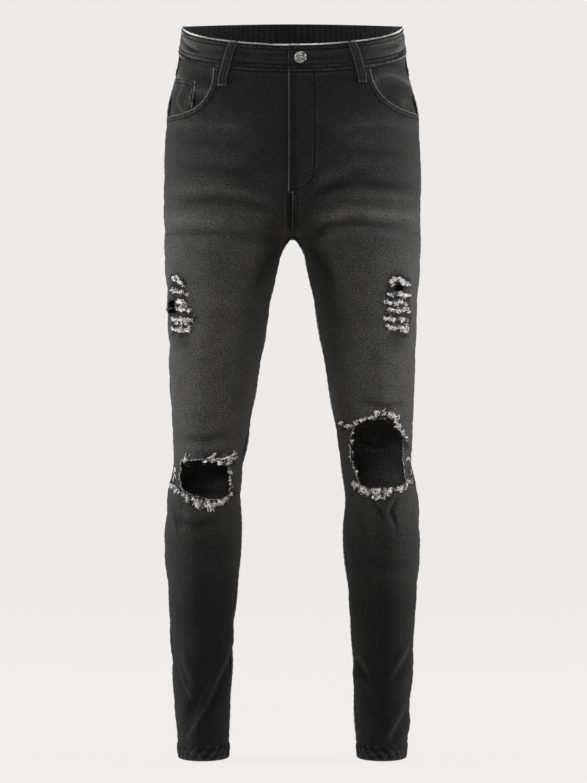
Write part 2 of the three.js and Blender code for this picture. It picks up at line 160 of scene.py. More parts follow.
def skin(turn, z):
    """The outside of the left half. turn runs from 0 at the centre front or the inseam, through 0.5 at
    the side seam, to 1 at the centre back or the inseam again."""
    turn, z = np.broadcast_arrays(np.asarray(turn, float), np.asarray(z, float))
    outer, front, back = (along(STATIONS, column, z) for column in (1, 2, 3))
    across = across_at(turn)
    inner = inner_at(across, z)
    drop = np.clip((FORK - z) / (FORK - CROTCH), 0, 1)
    quarter = np.sqrt(1 - drop**2)
    eased = smoothstep(-z, EASE_TOP, EASE_END)
    aside = smoothstep(across, 0, EASE_WIDTH)
    ringed = (1 - quarter) * (1 - aside) + eased * aside
    web = FORK_WEB * quarter / outer
    near = np.minimum(np.sqrt(across**2 + web**2 * (1 - across**2)), 1)
    hip = np.clip(1 - across**HIP_SQUARE, 0, None) ** (1 / HIP_SQUARE)
    ring = 2 * np.sqrt(np.clip(near * (1 - near), 0, None))
    reach = (1 - ringed) * hip + ringed * ring
    folded = sum(
        deep * np.exp(-(((turn - t0) / wide) ** 2) - ((z - z0 - tilt * (turn - t0)) / high) ** 2)
        for t0, z0, tilt, wide, high, deep in FOLDS
    )
    way = np.where(turn < 0.5, -1.0, 1.0)
    y = (back - front) / 2 + way * ((back + front) / 2 - folded) * reach
    return np.stack([inner + (outer - inner) * across, y, z], axis=-1)


def skin_x(turn, z):
    """Distance from the middle, under zero past the centre front."""
    return np.sign(turn) * skin(np.abs(turn), z)[..., 0]


def skin_beyond(turn, z):
    """The skin, also a little past the centre front, the centre back and the inseam."""
    turn, z = np.broadcast_arrays(np.asarray(turn, float), np.asarray(z, float))
    rise = z >= CROTCH
    low, high = turn < 0, turn > 1
    folded_back = np.where(low, -turn, np.where(high, 2 - turn, turn))
    wrapped = np.where(low, turn + 1, np.where(high, turn - 1, turn))
    points = skin(np.where(rise, folded_back, wrapped), z)
    points[..., 0] *= np.where(rise & (low | high), -1, 1)
    return points


TURN_STEP, DROP_STEP = 0.004, 0.003  # small steps that give the skin's slope


def run_aside(turn, z):
    return skin_beyond(turn + TURN_STEP, z) - skin_beyond(turn - TURN_STEP, z)


def outward(turn, z):
    """Unit directions out of the skin."""
    up = skin_beyond(turn, z + DROP_STEP) - skin_beyond(turn, z - DROP_STEP)
    out = np.cross(run_aside(turn, z), up)
    return out / np.maximum(np.linalg.norm(out, axis=-1, keepdims=True), 1e-12)


def level_out(turn, z):
    """Level unit directions out of the skin."""
    aside = run_aside(turn, z)
    out = np.stack([aside[..., 1], -aside[..., 0], np.zeros_like(aside[..., 0])], axis=-1)
    return out / np.linalg.norm(out, axis=-1, keepdims=True)


def waist_top(turn):
    """Height of the top of the waistband, which dips in front and rises at the back."""
    reach = np.sqrt(np.clip(1 - across_at(turn) ** 2, 0, None))
    return np.where(turn < 0.5, -FRONT_DIP * reach, BACK_RISE * reach)


def waist_seam(turn):
    return waist_top(turn) - BAND_HEIGHT


def yoke_seam(turn):
    back = np.clip(2 * turn - 1, 0, 1)
    return waist_seam(turn) - (YOKE_SIDE + (YOKE_MIDDLE - YOKE_SIDE) * back)


TURN_ROUNDS = 14


def turn_at(x, z):
    """The turn on the front at which the skin is x from the middle. It keeps the sign of x."""
    z = np.asarray(z, float)
    outer = along(STATIONS, 1, z)
    across = np.clip(np.abs(x) / outer, 0, 1)
    for _ in range(TURN_ROUNDS):
        inner = inner_at(across, z)
        across = np.clip((np.abs(x) - inner) / (outer - inner), 0, 1)
    return np.sign(x) * np.arccos(1 - 2 * across) / (2 * np.pi)


# Length round the skin from turn 0, in a table of heights and turns.
ARC_TURNS = np.linspace(0, 1, 161)
ARC_HEIGHTS = np.linspace(0.03, -1.03, 213)
_ring = skin(ARC_TURNS[None, :], ARC_HEIGHTS[:, None])
_steps = np.linalg.norm(np.diff(_ring, axis=1), axis=-1)
ARC = np.concatenate([np.zeros((len(ARC_HEIGHTS), 1)), np.cumsum(_steps, axis=1)], axis=1)


def arc(turn, z):
    """Length round the skin from the centre front or the inseam."""
    row = np.clip((ARC_HEIGHTS[0] - z) / (ARC_HEIGHTS[0] - ARC_HEIGHTS[1]), 0, len(ARC) - 1.001)
    column = np.clip(np.abs(turn) * (len(ARC_TURNS) - 1), 0, len(ARC_TURNS) - 1.001)
    j, i = row.astype(int), column.astype(int)
    b, a = row - j, column - i
    low = ARC[j, i] * (1 - a) + ARC[j, i + 1] * a
    high = ARC[j + 1, i] * (1 - a) + ARC[j + 1, i + 1] * a
    return np.sign(turn) * (low * (1 - b) + high * b)


def turn_from_arc(length, z):
    """The turn at a length round the skin, for arrays of lengths and heights."""
    rows = np.clip(np.rint((ARC_HEIGHTS[0] - z) / (ARC_HEIGHTS[0] - ARC_HEIGHTS[1])), 0, len(ARC) - 1)
    return np.array([np.interp(s, ARC[int(r)], ARC_TURNS) for s, r in zip(length, rows)])


# ---------------------------------------------------------------- creases
# Depth, half width, and the points of a line as distance from the middle and height, in millimetres.
CREASES = {
    (LEFT, FRONT): (
        (3.6, 6, ((16, -252), (42, -236), (60, -230), (88, -226), (150, -230), (176, -229))),
        (3.0, 6, ((18, -304), (44, -286), (82, -280), (120, -283), (172, -286))),
        (2.6, 7, ((28, -240), (60, -222), (84, -214), (112, -212))),
        (1.8, 7, ((60, -160), (100, -150), (150, -146))),
        (2.6, 8, ((14, -300), (40, -330), (56, -372))),
        (1.6, 7, ((50, -180), (100, -186), (160, -180))),
        (2.4, 5, ((84, -872), (96, -896), (108, -916))),
        (3.0, 5, ((168, -862), (150, -896), (136, -912))),
        (3.0, 5, ((164, -946), (148, -974), (134, -996))),
        (1.6, 6, ((98, -934), (116, -948), (130, -976))),
        (1.2, 3, ((108, -660), (116, -670), (126, -684))),
        (1.8, 3.2, ((148, -656), (140, -666), (135, -676), (140, -688), (146, -702))),
        (2.4, 6, ((90, -520), (124, -530), (160, -524))),
        (1.0, 5, ((90, -668), (100, -700), (104, -740))),
        (2.0, 8, ((92, -740), (126, -752), (164, -744))),
    ),
    (RIGHT, FRONT): (
        (2.6, 7, ((24, -266), (62, -254), (104, -249), (165, -251))),
        (2.4, 7, ((50, -218), (96, -208), (160, -204))),
        (1.2, 7, ((20, -306), (70, -300), (130, -294), (170, -290))),
        (1.6, 7, ((56, -178), (100, -172), (160, -168))),
        (2.4, 8, ((14, -300), (36, -332), (50, -376))),
        (2.6, 5, ((165, -868), (154, -894), (139, -924))),
        (2.8, 5, ((82, -856), (85, -882), (94, -904), (114, -948), (136, -984))),
        (1.6, 6, ((128, -930), (140, -962), (152, -990))),
        (2.4, 6, ((84, -566), (120, -576), (158, -572))),
        (2.6, 6, ((92, -680), (130, -694), (166, -686))),
        (1.0, 5, ((160, -640), (152, -672), (154, -706))),
    ),
    (LEFT, BACK): (
        (4.4, 8, ((40, -304), (84, -318), (140, -306))),
        (3.6, 7, ((60, -330), (110, -348), (160, -352))),
        (4.8, 6, ((80, -582), (120, -596), (160, -584))),
        (4.8, 6, ((78, -640), (118, -628), (162, -642))),
        (4.0, 6, ((88, -666), (126, -674), (168, -668))),
        (4.6, 6, ((92, -880), (124, -904), (156, -912))),
        (4.2, 6, ((94, -946), (124, -934), (156, -952))),
    ),
    (RIGHT, BACK): (
        (4.4, 8, ((36, -308), (84, -320), (140, -302))),
        (3.6, 7, ((56, -334), (104, -350), (158, -346))),
        (4.8, 6, ((76, -590), (118, -602), (160, -592))),
        (4.8, 6, ((82, -634), (122, -644), (166, -630))),
        (4.0, 6, ((84, -676), (124, -668), (168, -678))),
        (4.6, 6, ((90, -896), (124, -886), (158, -900))),
        (4.2, 6, ((94, -934), (126, -952), (156, -942))),
    ),
}
# Gentle unevenness of the cloth: waves across and down a metre, phase and height.
RIPPLES = [
    (dice.uniform(-55, 55), dice.uniform(25, 90), dice.uniform(0, 6.28), dice.uniform(0.2, 0.45) * MM)
    for _ in range(14)
]


def from_line(x, z, points):
    """Distance of (x, z) from a line through points, and how far along it the nearest place is."""
    points = np.asarray(points, float)
    best = np.full(x.shape, np.inf)
    place = np.zeros(x.shape)
    for k in range(len(points) - 1):
        start, run = points[k], points[k + 1] - points[k]
        t = np.clip(((x - start[0]) * run[0] + (z - start[1]) * run[1]) / (run @ run), 0, 1)
        gap = np.hypot(x - start[0] - t * run[0], z - start[1] - t * run[1])
        closer = gap < best
        best = np.where(closer, gap, best)
        place = np.where(closer, (k + t) / (len(points) - 1), place)
    return best, place


def creases_near(hand, turn, x, z):
    """For each crease: which places can feel it, how far they are from it in millimetres, how much of
    it is left towards its ends, its depth and its half width."""
    for (side, way), rows in CREASES.items():
        mine = (hand == side) & ((turn < 0.5) == (way == FRONT))
        if not mine.any():
            continue
        for deep, wide, points in rows:
            gap, place = from_line(x[mine] / MM, z[mine] / MM, points)
            fades = smoothstep(place, -0.02, 0.3) * smoothstep(1 - place, -0.02, 0.3)
            yield mine, gap, fades, deep, wide


FELL = 0.6 * MM, 0.0015, 0.008, 0.0115  # height of a felled seam, and where it starts and ends
PUCKER_REACH, PUCKER_PITCH, PUCKER_HEIGHT = 0.012, 0.0105, 0.26 * MM
NOWHERE = 1.0  # a distance past every seam


def felled(distance):
    """The doubled strip beside a flat felled seam."""
    _, begun, ending, ended = FELL
    return smoothstep(distance, 0.0, begun) * (1 - smoothstep(distance, ending, ended))


def creased(hand, turn, z, x):
    """How far the cloth stands out (+) or is pulled in (-) by creases, seams and unevenness."""
    out = np.zeros(x.shape)
    front = turn < 0.5
    for mine, gap, fades, deep, wide in creases_near(hand, turn, x, z):
        trough = np.exp(-((gap / wide) ** 2)) - 0.55 * np.exp(-(((gap - 2.2 * wide) / (1.3 * wide)) ** 2))
        out[mine] -= deep * MM * trough * fades
    settle = smoothstep(waist_seam(turn) - z, 0.004, 0.05)
    for wide, high, phase, size in RIPPLES:
        out += settle * size * np.sin(wide * x * hand + high * z + phase + 2.2 * (~front))
    length = arc(turn, z)
    whole = arc(np.ones_like(turn), z)
    half = arc(np.full_like(turn, 0.5), z)
    leg = z < CROTCH
    # Behind the side seam, and beside the inseam and the seat seam.
    strip = felled(np.where(front, NOWHERE, length - half)) + felled(np.where(front, NOWHERE, whole - length))
    out += FELL[0] * strip
    # Puckers along the seams of the legs.
    to_side = np.abs(length - half)
    to_inside = np.where(leg, np.minimum(length, whole - length), NOWHERE)
    pucker = sum(np.exp(-((distance / PUCKER_REACH) ** 2)) for distance in (to_side, to_inside))
    waves = np.sin(2 * np.pi * z / PUCKER_PITCH + 3 * np.sin(z * 61 + hand))
    out += settle * PUCKER_HEIGHT * pucker * waves
    return out


def cloth(hand, turn, z, lift=0.0):
    """Points on the outer face of the cloth and directions out of it, lift above it. A turn under
    zero is past the centre front."""
    turn, z = (np.atleast_1d(np.asarray(v, float)) for v in (turn, z))
    turn, z = np.broadcast_arrays(turn, z)
    hand = np.where(turn < 0, -hand, hand) * np.ones_like(turn)
    turn = np.abs(turn)
    points, out = skin(turn, z), outward(turn, z)
    stand = creased(hand, turn, z, points[..., 0]) + lift
    points = points + out * stand[..., None]
    flip = np.stack([hand, np.ones_like(hand), np.ones_like(hand)], axis=-1)
    return points * flip, out * flip


def on_face(way, x, z, lift=0.0):
    """The same for places on the front or the back, by distance from the middle and height."""
    x, z = np.broadcast_arrays(np.atleast_1d(np.asarray(x, float)), np.atleast_1d(np.asarray(z, float)))
    hand = np.where(x < 0, RIGHT, LEFT)
    turn = turn_at(np.abs(x), z)
    return cloth(hand, turn if way == FRONT else 1 - turn, z, lift)


# ---------------------------------------------------------------- the fading of the wash, with painted light and shade
# Height, then the shade in the middle, half way out and at the side seam, for the front.
FADE_FRONT = np.array([
    # At the waist the side seam is painted lighter where the side light falls, as well as from its fading.
    (0.02, 25, 32, 76),
    (-0.05, 25, 29, 62),
    (-0.10, 24, 26, 34),
    (-0.13, 24, 30, 36),
    (-0.16, 24, 32, 40),
    (-0.22, 25, 37, 46),
    (-0.27, 27, 47, 58),
    (-0.32, 31, 51, 64),
    (-0.40, 39, 54, 62),
    (-0.52, 46, 54, 60),
    (-0.60, 44, 51, 54),
    (-0.66, 40, 42, 42),
    (-0.72, 31, 32, 36),
    (-0.78, 26, 25, 29),
    (-0.86, 23, 20, 20),
    (-0.95, 21, 19, 15),
    (-1.02, 22, 20, 15),
])
FADE_BACK = np.array([
    (0.02, 34, 38, 52),
    (-0.06, 34, 38, 46),
    (-0.12, 38, 44, 48),
    (-0.20, 46, 56, 52),
    (-0.28, 44, 54, 54),
    (-0.36, 44, 52, 54),
    (-0.52, 42, 48, 52),
    (-0.62, 38, 42, 46),
    (-0.72, 33, 35, 38),
    (-0.84, 30, 30, 32),
    (-1.02, 28, 28, 30),
])
# Whiskers, wear, and painted light and shade on creases, seams, rips and belt loops: change of shade, half
# width and line in millimetres.
WEAR_AND_PAINTED_LIGHT = {
    (BOTH, FRONT): (
        (12, 7, ((44, -156), (100, -146), (160, -142), (180, -143))),
        # Painted shadow on the cloth round the front belt loops.
        (-12, 10, ((81, -18), (86, -56), (93, -94))),
        (6, 30, ((112, -320), (112, -380), (116, -500), (118, -560))),
    ),
    (RIGHT, FRONT): (
        (10, 7, ((44, -244), (100, -233), (160, -231), (182, -231))),
        (14, 9, ((56, -282), (110, -276), (168, -272), (182, -272))),
        # Thin pale lines along the ridges of the folds below the knee: painted highlight, and wear of the
        # ridges.
        (22, 1.6, ((163, -870), (159, -893), (145, -922), (139, -936))),
        (22, 1.6, ((85, -845), (91, -881), (100, -901), (119, -944), (143, -982), (147, -990))),
        (12, 1.8, ((108, -905), (122, -925), (134, -950))),
        # Painted shade in a fold beside the knee hole.
        (-30, 1.1, ((166, -660), (164, -672), (160, -690), (157, -710))),
        # Painted light along the inner side of the leg, from the fork to below the knee.
        (24, 15, ((10, -290), (40, -425), (56, -521), (63, -562), (71, -678), (79, -760))),
        # Painted shade on the cloth round the thigh rip, for the dark gap behind its bared yarns.
        (-40, 11, ((160, -336), (156, -384), (151, -444))),
        # Painted shadow beside the fly's lapped edge, and painted shade in the seam below the fly.
        (-10, 4, ((8, -60), (8, -150), (8, -238))),
        (-7, 1.0, ((4.8, -238), (4, -299))),
    ),
    (LEFT, FRONT): (
        (16, 7, ((24, -292), (48, -270), (84, -262), (120, -265), (150, -267), (182, -268))),
        (6, 6, ((64, -250), (92, -244), (130, -245), (176, -246))),
        # Painted shade in the folds beside the knee hole.
        (-30, 1.1, ((108, -652), (113, -663), (120, -674), (127, -688))),
        (-34, 1.3, ((150, -646), (142, -660), (136, -672), (141, -686), (147, -706))),
        # Thin pale lines along the ridges of the folds below the knee: painted highlight, and wear of the
        # ridges.
        (18, 1.6, ((86, -872), (92, -880), (102, -893), (106, -900))),
        (24, 1.8, ((167, -850), (160, -866), (148, -884), (141, -896))),
        (24, 1.8, ((163, -932), (158, -944), (144, -968), (130, -990))),
        (12, 1.8, ((88, -902), (104, -920), (114, -930))),
        # Painted shade along the inner side of the thigh.
        (-9, 26, ((20, -290), (48, -360), (66, -440))),
        # Painted shade along a crease across the top of the thigh.
        (-7, 12, ((8, -260), (40, -244), (96, -226), (176, -224))),
        (14, 6, ((50, -480), (56, -521), (60, -560))),
        (-7, 26, ((160, -740), (152, -860), (146, -1010))),
        # Painted shade on the cloth round the thigh rip, for the dark gap behind its bared yarns.
        (-40, 11, ((144, -336), (143, -384), (143, -442))),
        # Painted shade in the seam below the fly.
        (-12, 1.2, ((2.2, -240), (3, -299))),
    ),
    (BOTH, BACK): (
        (10, 50, ((86, -190), (92, -240))),
    ),
}


def shade(value):
    """Linear brightness of a shade from 0 to 255."""
    value = np.clip(value, 1, 255) / 255
    return np.where(value <= 0.04045, value / 12.92, ((value + 0.055) / 1.055) ** 2.4)


LIGHTEN = 0.82  # how much of a shade comes from the dye; the rest is gloss
# Painted shade in the bottoms of creases, and pale ridges, for each millimetre of a crease's depth.
CREASE_SHADE_AND_WEAR = 0.085  # change of shade for each millimetre of a crease's depth


def fading_and_painted_light(hand, turn, z):
    """Brightness of the dye at each place, with painted light and shade on its creases, seams, rips and belt
    loops.
    """
    hand = np.where(turn < 0, -hand, hand) * np.ones_like(turn)
    turn = np.abs(turn)
    front = turn < 0.5
    x = skin(turn, z)[..., 0]
    # Below the fork the shades are laid out between the inseam and the side seam, above it from the
    # middle, with a soft change between the two.
    fork = smoothstep(CROTCH - z, -0.07, 0.16)
    middle_x = fork * inseam(np.minimum(z, CROTCH - 0.005))
    t = np.clip((x - middle_x) / (along(STATIONS, 1, z) - middle_x), 0, 1)
    t = np.arccos(1 - 2 * t) / np.pi
    value = np.zeros_like(t)
    for table, mine in ((FADE_FRONT, front), (FADE_BACK, ~front)):
        middle, between, side = (along(table, column, z) for column in (1, 2, 3))
        near = middle + (between - middle) * smoothstep(t, 0, 0.5)
        mixed = near + (side - between) * smoothstep(t, 0.5, 1)
        value = np.where(mine, mixed, value)
    for (side, way), rows in WEAR_AND_PAINTED_LIGHT.items():
        mine = (front == (way == FRONT)) & ((hand == side) | (side == BOTH))
        for amount, wide, points in rows:
            gap, place = from_line(x / MM, z / MM, points)
            fades = smoothstep(place, -0.02, 0.35) * smoothstep(1 - place, -0.3, 0.35)
            value = value + np.where(mine, amount * np.exp(-((gap / wide) ** 2)) * fades, 0)
    # Painted shade darkens the bottoms of the creases; their ridges are rubbed pale and painted with a
    # highlight.
    for mine, gap, fades, deep, wide in creases_near(hand, turn, x, z):
        mark = 0.6 * np.exp(-(((gap - 1.9 * wide) / wide) ** 2)) - np.exp(-((gap / (0.8 * wide)) ** 2))
        value[mine] *= 1 + CREASE_SHADE_AND_WEAR * deep * mark * fades
    return shade(value) * LIGHTEN


# ---------------------------------------------------------------- materials
def new_material(name):
    material = bpy.data.materials.new(name)
    material.use_nodes = True
    tree = material.node_tree
    return material, tree.nodes, tree.links, tree.nodes["Principled BSDF"]


def node(nodes, links, kind, settings=(), **inputs):
    made = nodes.new(kind)
    for key, value in dict(settings).items():
        setattr(made, key, value)
    for key, value in inputs.items():
        socket = made.inputs[int(key[1:])] if key[0] == "i" and key[1:].isdigit() else made.inputs[key]
        if isinstance(value, bpy.types.NodeSocket):
            links.new(value, socket)
        else:
            socket.default_value = value
    return made


def math_node(nodes, links, operation, a, b=0.0, c=None):
    inputs = {"i0": a, "i1": b}
    if c is not None:
        inputs["i2"] = c
    return node(nodes, links, "ShaderNodeMath", {"operation": operation}, **inputs).outputs[0]


def scaled(nodes, links, colour, value):
    return node(
        nodes, links, "ShaderNodeVectorMath", {"operation": "SCALE"}, i0=colour, Scale=value
    ).outputs[0]


TWILL = 480.0  # diagonal ribs 0.9 mm apart
SLUB = (760.0, 95.0, 1.0)  # uneven yarns run up and down


def ramp(nodes, links, value, stops):
    """A curve through pairs of position and height, each from 0 to 1."""
    made = nodes.new("ShaderNodeValToRGB")
    elements = made.color_ramp.elements
    while len(elements) < len(stops):
        elements.new(0.5)
    for element, (position, height) in zip(elements, stops):
        element.position = position
        element.color = (height, height, height, 1)
    links.new(value, made.inputs[0])
    return made.outputs[0]


# Across a stitched edge, 12 mm in from it: the dye (0.25 is unchanged), rubbed pale at the rim, with painted
# shade in the grooves along its rows of stitching; and the height.
EDGE_WEAR_AND_SHADE = (
    (0.0, 1.0), (0.10, 0.95), (0.15, 0.16), (0.22, 0.08), (0.30, 0.22), (0.40, 0.38), (0.50, 0.28),
    (0.57, 0.22), (0.63, 0.07), (0.70, 0.09), (0.77, 0.27), (0.86, 0.33), (1.0, 0.25),
)
EDGE_HEIGHT = (
    (0.0, 0.35), (0.07, 0.8), (0.13, 0.7), (0.19, 0.3), (0.28, 0.8), (0.42, 0.95), (0.56, 0.8),
    (0.66, 0.3), (0.76, 0.62), (0.9, 0.4), (1.0, 0.3),
)
# Beside a plain seam, 12 mm away from it: painted shade in the seam line, then a rubbed pale ridge.
JOINT_SHADE_AND_WEAR = (
    (0.0, 0.06), (0.07, 0.07), (0.13, 0.22), (0.22, 0.36), (0.4, 0.29), (0.7, 0.24), (1.0, 0.25),
)
SEAM_REACH = 0.012
DENIM_TINT = (1.0, 0.992, 0.985)
WRONG_SIDE = 0.085  # dye of the wrong side


def denim(name, inside=False):
    """Washed twill: the dye from the piece's own fading and painted light, uneven yarns, specks and diagonal
    ribs, rubbed and puckered beside its seams, with painted shade in the grooves of its seams and stitching."""
    material, nodes, links, shader = new_material(name)

    def compute(operation, a, b=0.0, c=None):
        return math_node(nodes, links, operation, a, b, c)

    def noise(vector, scale, detail=2.0):
        made = node(nodes, links, "ShaderNodeTexNoise", Vector=vector, Scale=scale, Detail=detail)
        return made.outputs[0]

    def attribute(key):
        return node(nodes, links, "ShaderNodeAttribute", {"attribute_name": key}).outputs[2]

    weave = node(nodes, links, "ShaderNodeUVMap", {"uv_map": "cloth"}).outputs[0]
    ribs = node(
        nodes, links, "ShaderNodeTexWave", {"bands_direction": "DIAGONAL"},
        Vector=weave, Scale=TWILL, Distortion=1.2, Detail=1.0,
    ).outputs[1]
    stretched = node(
        nodes, links, "ShaderNodeVectorMath", {"operation": "MULTIPLY"}, i0=weave, i1=SLUB
    ).outputs[0]
    slubs = noise(stretched, 1.0)
    specks = noise(weave, 560.0, 1.0)
    grains = noise(weave, 1150.0, 0.0)
    clouds = noise(weave, 38.0, 4.0)
    value = WRONG_SIDE if inside else attribute("dye_with_painted_light")
    for pattern, contrast, base in (
        (slubs, 1.1, 0.45), (specks, 3.7, -0.85), (grains, 1.8, 0.1), (clouds, 0.8, 0.6), (ribs, 0.35, 0.8),
    ):
        value = compute("MULTIPLY", value, compute("MULTIPLY_ADD", pattern, contrast, base))
    height = compute("MULTIPLY_ADD", specks, 0.7, compute("MULTIPLY_ADD", slubs, 0.5, ribs))
    bump = node(nodes, links, "ShaderNodeBump", Height=height, Strength=0.5, Distance=0.0004)
    if not inside:
        pucker = noise(weave, 170.0, 2.0)
        wander = compute("MULTIPLY_ADD", pucker, 0.0022, -0.0011)
        edge = compute("DIVIDE", compute("ADD", attribute("edge"), wander), SEAM_REACH)
        joint = compute("DIVIDE", attribute("joint"), SEAM_REACH)
        # Painted shade in the grooves of the seams and stitching, with their rubbed pale rims.
        for place, stops in ((edge, EDGE_WEAR_AND_SHADE), (joint, JOINT_SHADE_AND_WEAR)):
            value = compute("MULTIPLY", value, compute("MULTIPLY", ramp(nodes, links, place, stops), 4.0))
        rim = compute("LESS_THAN", edge, 0.12)
        value = compute("MULTIPLY", value, compute("MULTIPLY_ADD", rim, 1.2, 1.0))
        ridge = ramp(nodes, links, edge, EDGE_HEIGHT)
        rucked = compute("MULTIPLY", ridge, compute("MULTIPLY_ADD", pucker, 1.8, 0.1))
        near = compute("MAXIMUM", compute("SUBTRACT", 1.1, edge), 0.12)
        uneven = compute("MULTIPLY", near, compute("MULTIPLY_ADD", pucker, 3.6, -1.8))
        value = compute("MULTIPLY", value, compute("MAXIMUM", compute("ADD", uneven, 1.0), 0.1))
        bump = node(nodes, links, "ShaderNodeBump", Height=rucked, Strength=1.0, Distance=0.0022,
                    Normal=bump.outputs[0])
    value = compute("MAXIMUM", value, 0.0005)
    links.new(scaled(nodes, links, DENIM_TINT, value), shader.inputs["Base Color"])
    links.new(bump.outputs[0], shader.inputs["Normal"])
    shader.inputs["Roughness"].default_value = 0.78
    shader.inputs["Specular IOR Level"].default_value = 0.08
    shader.inputs["Sheen Weight"].default_value = 0.03
    shader.inputs["Sheen Roughness"].default_value = 0.45
    return material


def yarn(name, colour, spread, scale):
    """Cotton thread: colour that varies from strand to strand, with a twisted bump."""
    material, nodes, links, shader = new_material(name)
    place = node(nodes, links, "ShaderNodeTexCoord").outputs["Object"]
    patches = node(nodes, links, "ShaderNodeTexNoise", Vector=place, Scale=scale, Detail=3.0).outputs[0]
    value = math_node(nodes, links, "MULTIPLY_ADD", patches, spread, 1 - spread / 2)
    links.new(scaled(nodes, links, colour, value), shader.inputs["Base Color"])
    twist = node(
        nodes, links, "ShaderNodeTexWave", {"bands_direction": "DIAGONAL"},
        Vector=place, Scale=900.0, Distortion=3.0,
    ).outputs[1]
    bump = node(nodes, links, "ShaderNodeBump", Height=twist, Strength=0.4, Distance=0.0002)
    links.new(bump.outputs[0], shader.inputs["Normal"])
    shader.inputs["Roughness"].default_value = 0.85
    shader.inputs["Specular IOR Level"].default_value = 0.2
    return material


def metal(name):
    material, nodes, links, shader = new_material(name)
    place = node(nodes, links, "ShaderNodeTexCoord").outputs["Object"]
    grain = node(nodes, links, "ShaderNodeTexNoise", Vector=place, Scale=900.0, Detail=3.0).outputs[0]
    tarnish = node(nodes, links, "ShaderNodeTexNoise", Vector=place, Scale=520.0, Detail=2.0).outputs[0]
    colours = node(nodes, links, "ShaderNodeValToRGB", Fac=tarnish)
    dull, bright = colours.color_ramp.elements
    dull.position, dull.color = 0.42, (0.025, 0.025, 0.024, 1)
    bright.position, bright.color = 0.6, (0.36, 0.36, 0.35, 1)
    links.new(colours.outputs[0], shader.inputs["Base Color"])
    rough = math_node(nodes, links, "MULTIPLY_ADD", grain, 0.25, 0.26)
    links.new(rough, shader.inputs["Roughness"])
    bump = node(nodes, links, "ShaderNodeBump", Height=tarnish, Strength=0.9, Distance=0.0012)
    links.new(bump.outputs[0], shader.inputs["Normal"])
    shader.inputs["Metallic"].default_value = 1.0
    return material


DENIM = denim("washed black denim")
DENIM_INSIDE = denim("denim wrong side", inside=True)
THREAD = yarn("charcoal thread", (0.008, 0.008, 0.008), 0.5, 240.0)
FRAY = yarn("frayed cotton", (0.74, 0.73, 0.72), 1.8, 300.0)
FRAY_GREY = yarn("frayed grey yarn", (0.11, 0.11, 0.107), 1.6, 300.0)
FRAY_DARK = yarn("frayed dark yarn", (0.016, 0.016, 0.016), 1.2, 300.0)
METAL = metal("brushed gunmetal")


# ---------------------------------------------------------------- flat cloth
def flat_grid(columns, rows):
    """A flat sheet, one unit wide and high, from the corner at the origin."""
    sheet = bmesh.new()
    bmesh.ops.create_grid(sheet, x_segments=columns, y_segments=rows, size=0.5)
    bmesh.ops.translate(sheet, verts=sheet.verts, vec=(0.5, 0.5, 0))
    return sheet


def flat_places(sheet):
    return np.array([vertex.co.xy for vertex in sheet.verts])


def move_to(sheet, places):
    for vertex, place in zip(sheet.verts, places):
        vertex.co = (*place, 0.0) if len(place) == 2 else place


def ragged_outline(points, step, wander, spikes, rng):
    """A closed smooth line through points, with a vertex every step, that wanders and has spikes."""
    points = np.asarray(points, float)
    count = len(points)
    drawn = []
    for k in range(count):
        p0, p1, p2, p3 = (points[(k + o) % count] for o in (-1, 0, 1, 2))
        for t in np.linspace(0, 1, 16, endpoint=False):
            drawn.append(
                0.5 * (2 * p1 + (p2 - p0) * t + (2 * p0 - 5 * p1 + 4 * p2 - p3) * t**2
                       + (3 * p1 - p0 - 3 * p2 + p3) * t**3)
            )
    drawn = np.array(drawn + drawn[:1])
    lengths = np.concatenate([[0], np.cumsum(np.linalg.norm(np.diff(drawn, axis=0), axis=1))])
    total = max(int(lengths[-1] / step), 12)
    s = np.linspace(0, lengths[-1], total, endpoint=False)
    line = np.stack([np.interp(s, lengths, drawn[:, a]) for a in (0, 1)], axis=-1)
    run = np.roll(line, -1, axis=0) - np.roll(line, 1, axis=0)
    side = np.stack([run[:, 1], -run[:, 0]], axis=-1)
    side /= np.linalg.norm(side, axis=1, keepdims=True)
    rough = rng.normal(0, 1, total)
    rough = rough + 0.8 * np.roll(rough, 1) + 0.5 * np.roll(rough, 2)
    rough = rough * wander * 0.6 + spikes * (rng.uniform(0, 1, total) > 0.9)
    return line + side * rough[:, None]


def to_outline(places, outline):
    """Signed distance of places from a closed outline, minus inside, and the nearest places on it."""
    starts, ends = outline, np.roll(outline, -1, axis=0)
    run = ends - starts
    t = ((places[:, None] - starts) * run).sum(-1) / np.maximum((run * run).sum(-1), 1e-18)
    near = starts + np.clip(t, 0, 1)[..., None] * run
    gaps = np.linalg.norm(places[:, None] - near, axis=-1)
    best = gaps.argmin(axis=1)
    rows = np.arange(len(places))
    crossing = (starts[:, 1] > places[:, None, 1]) != (ends[:, 1] > places[:, None, 1])
    rise = np.where(np.abs(run[:, 1]) < 1e-15, 1e-15, run[:, 1])
    reach = starts[:, 0] + (places[:, None, 1] - starts[:, 1]) / rise * run[:, 0]
    inside = ((places[:, None, 0] < reach) & crossing).sum(axis=1) % 2 == 1
    distance = gaps[rows, best] * np.where(inside, -1, 1)
    return distance, near[rows, best]


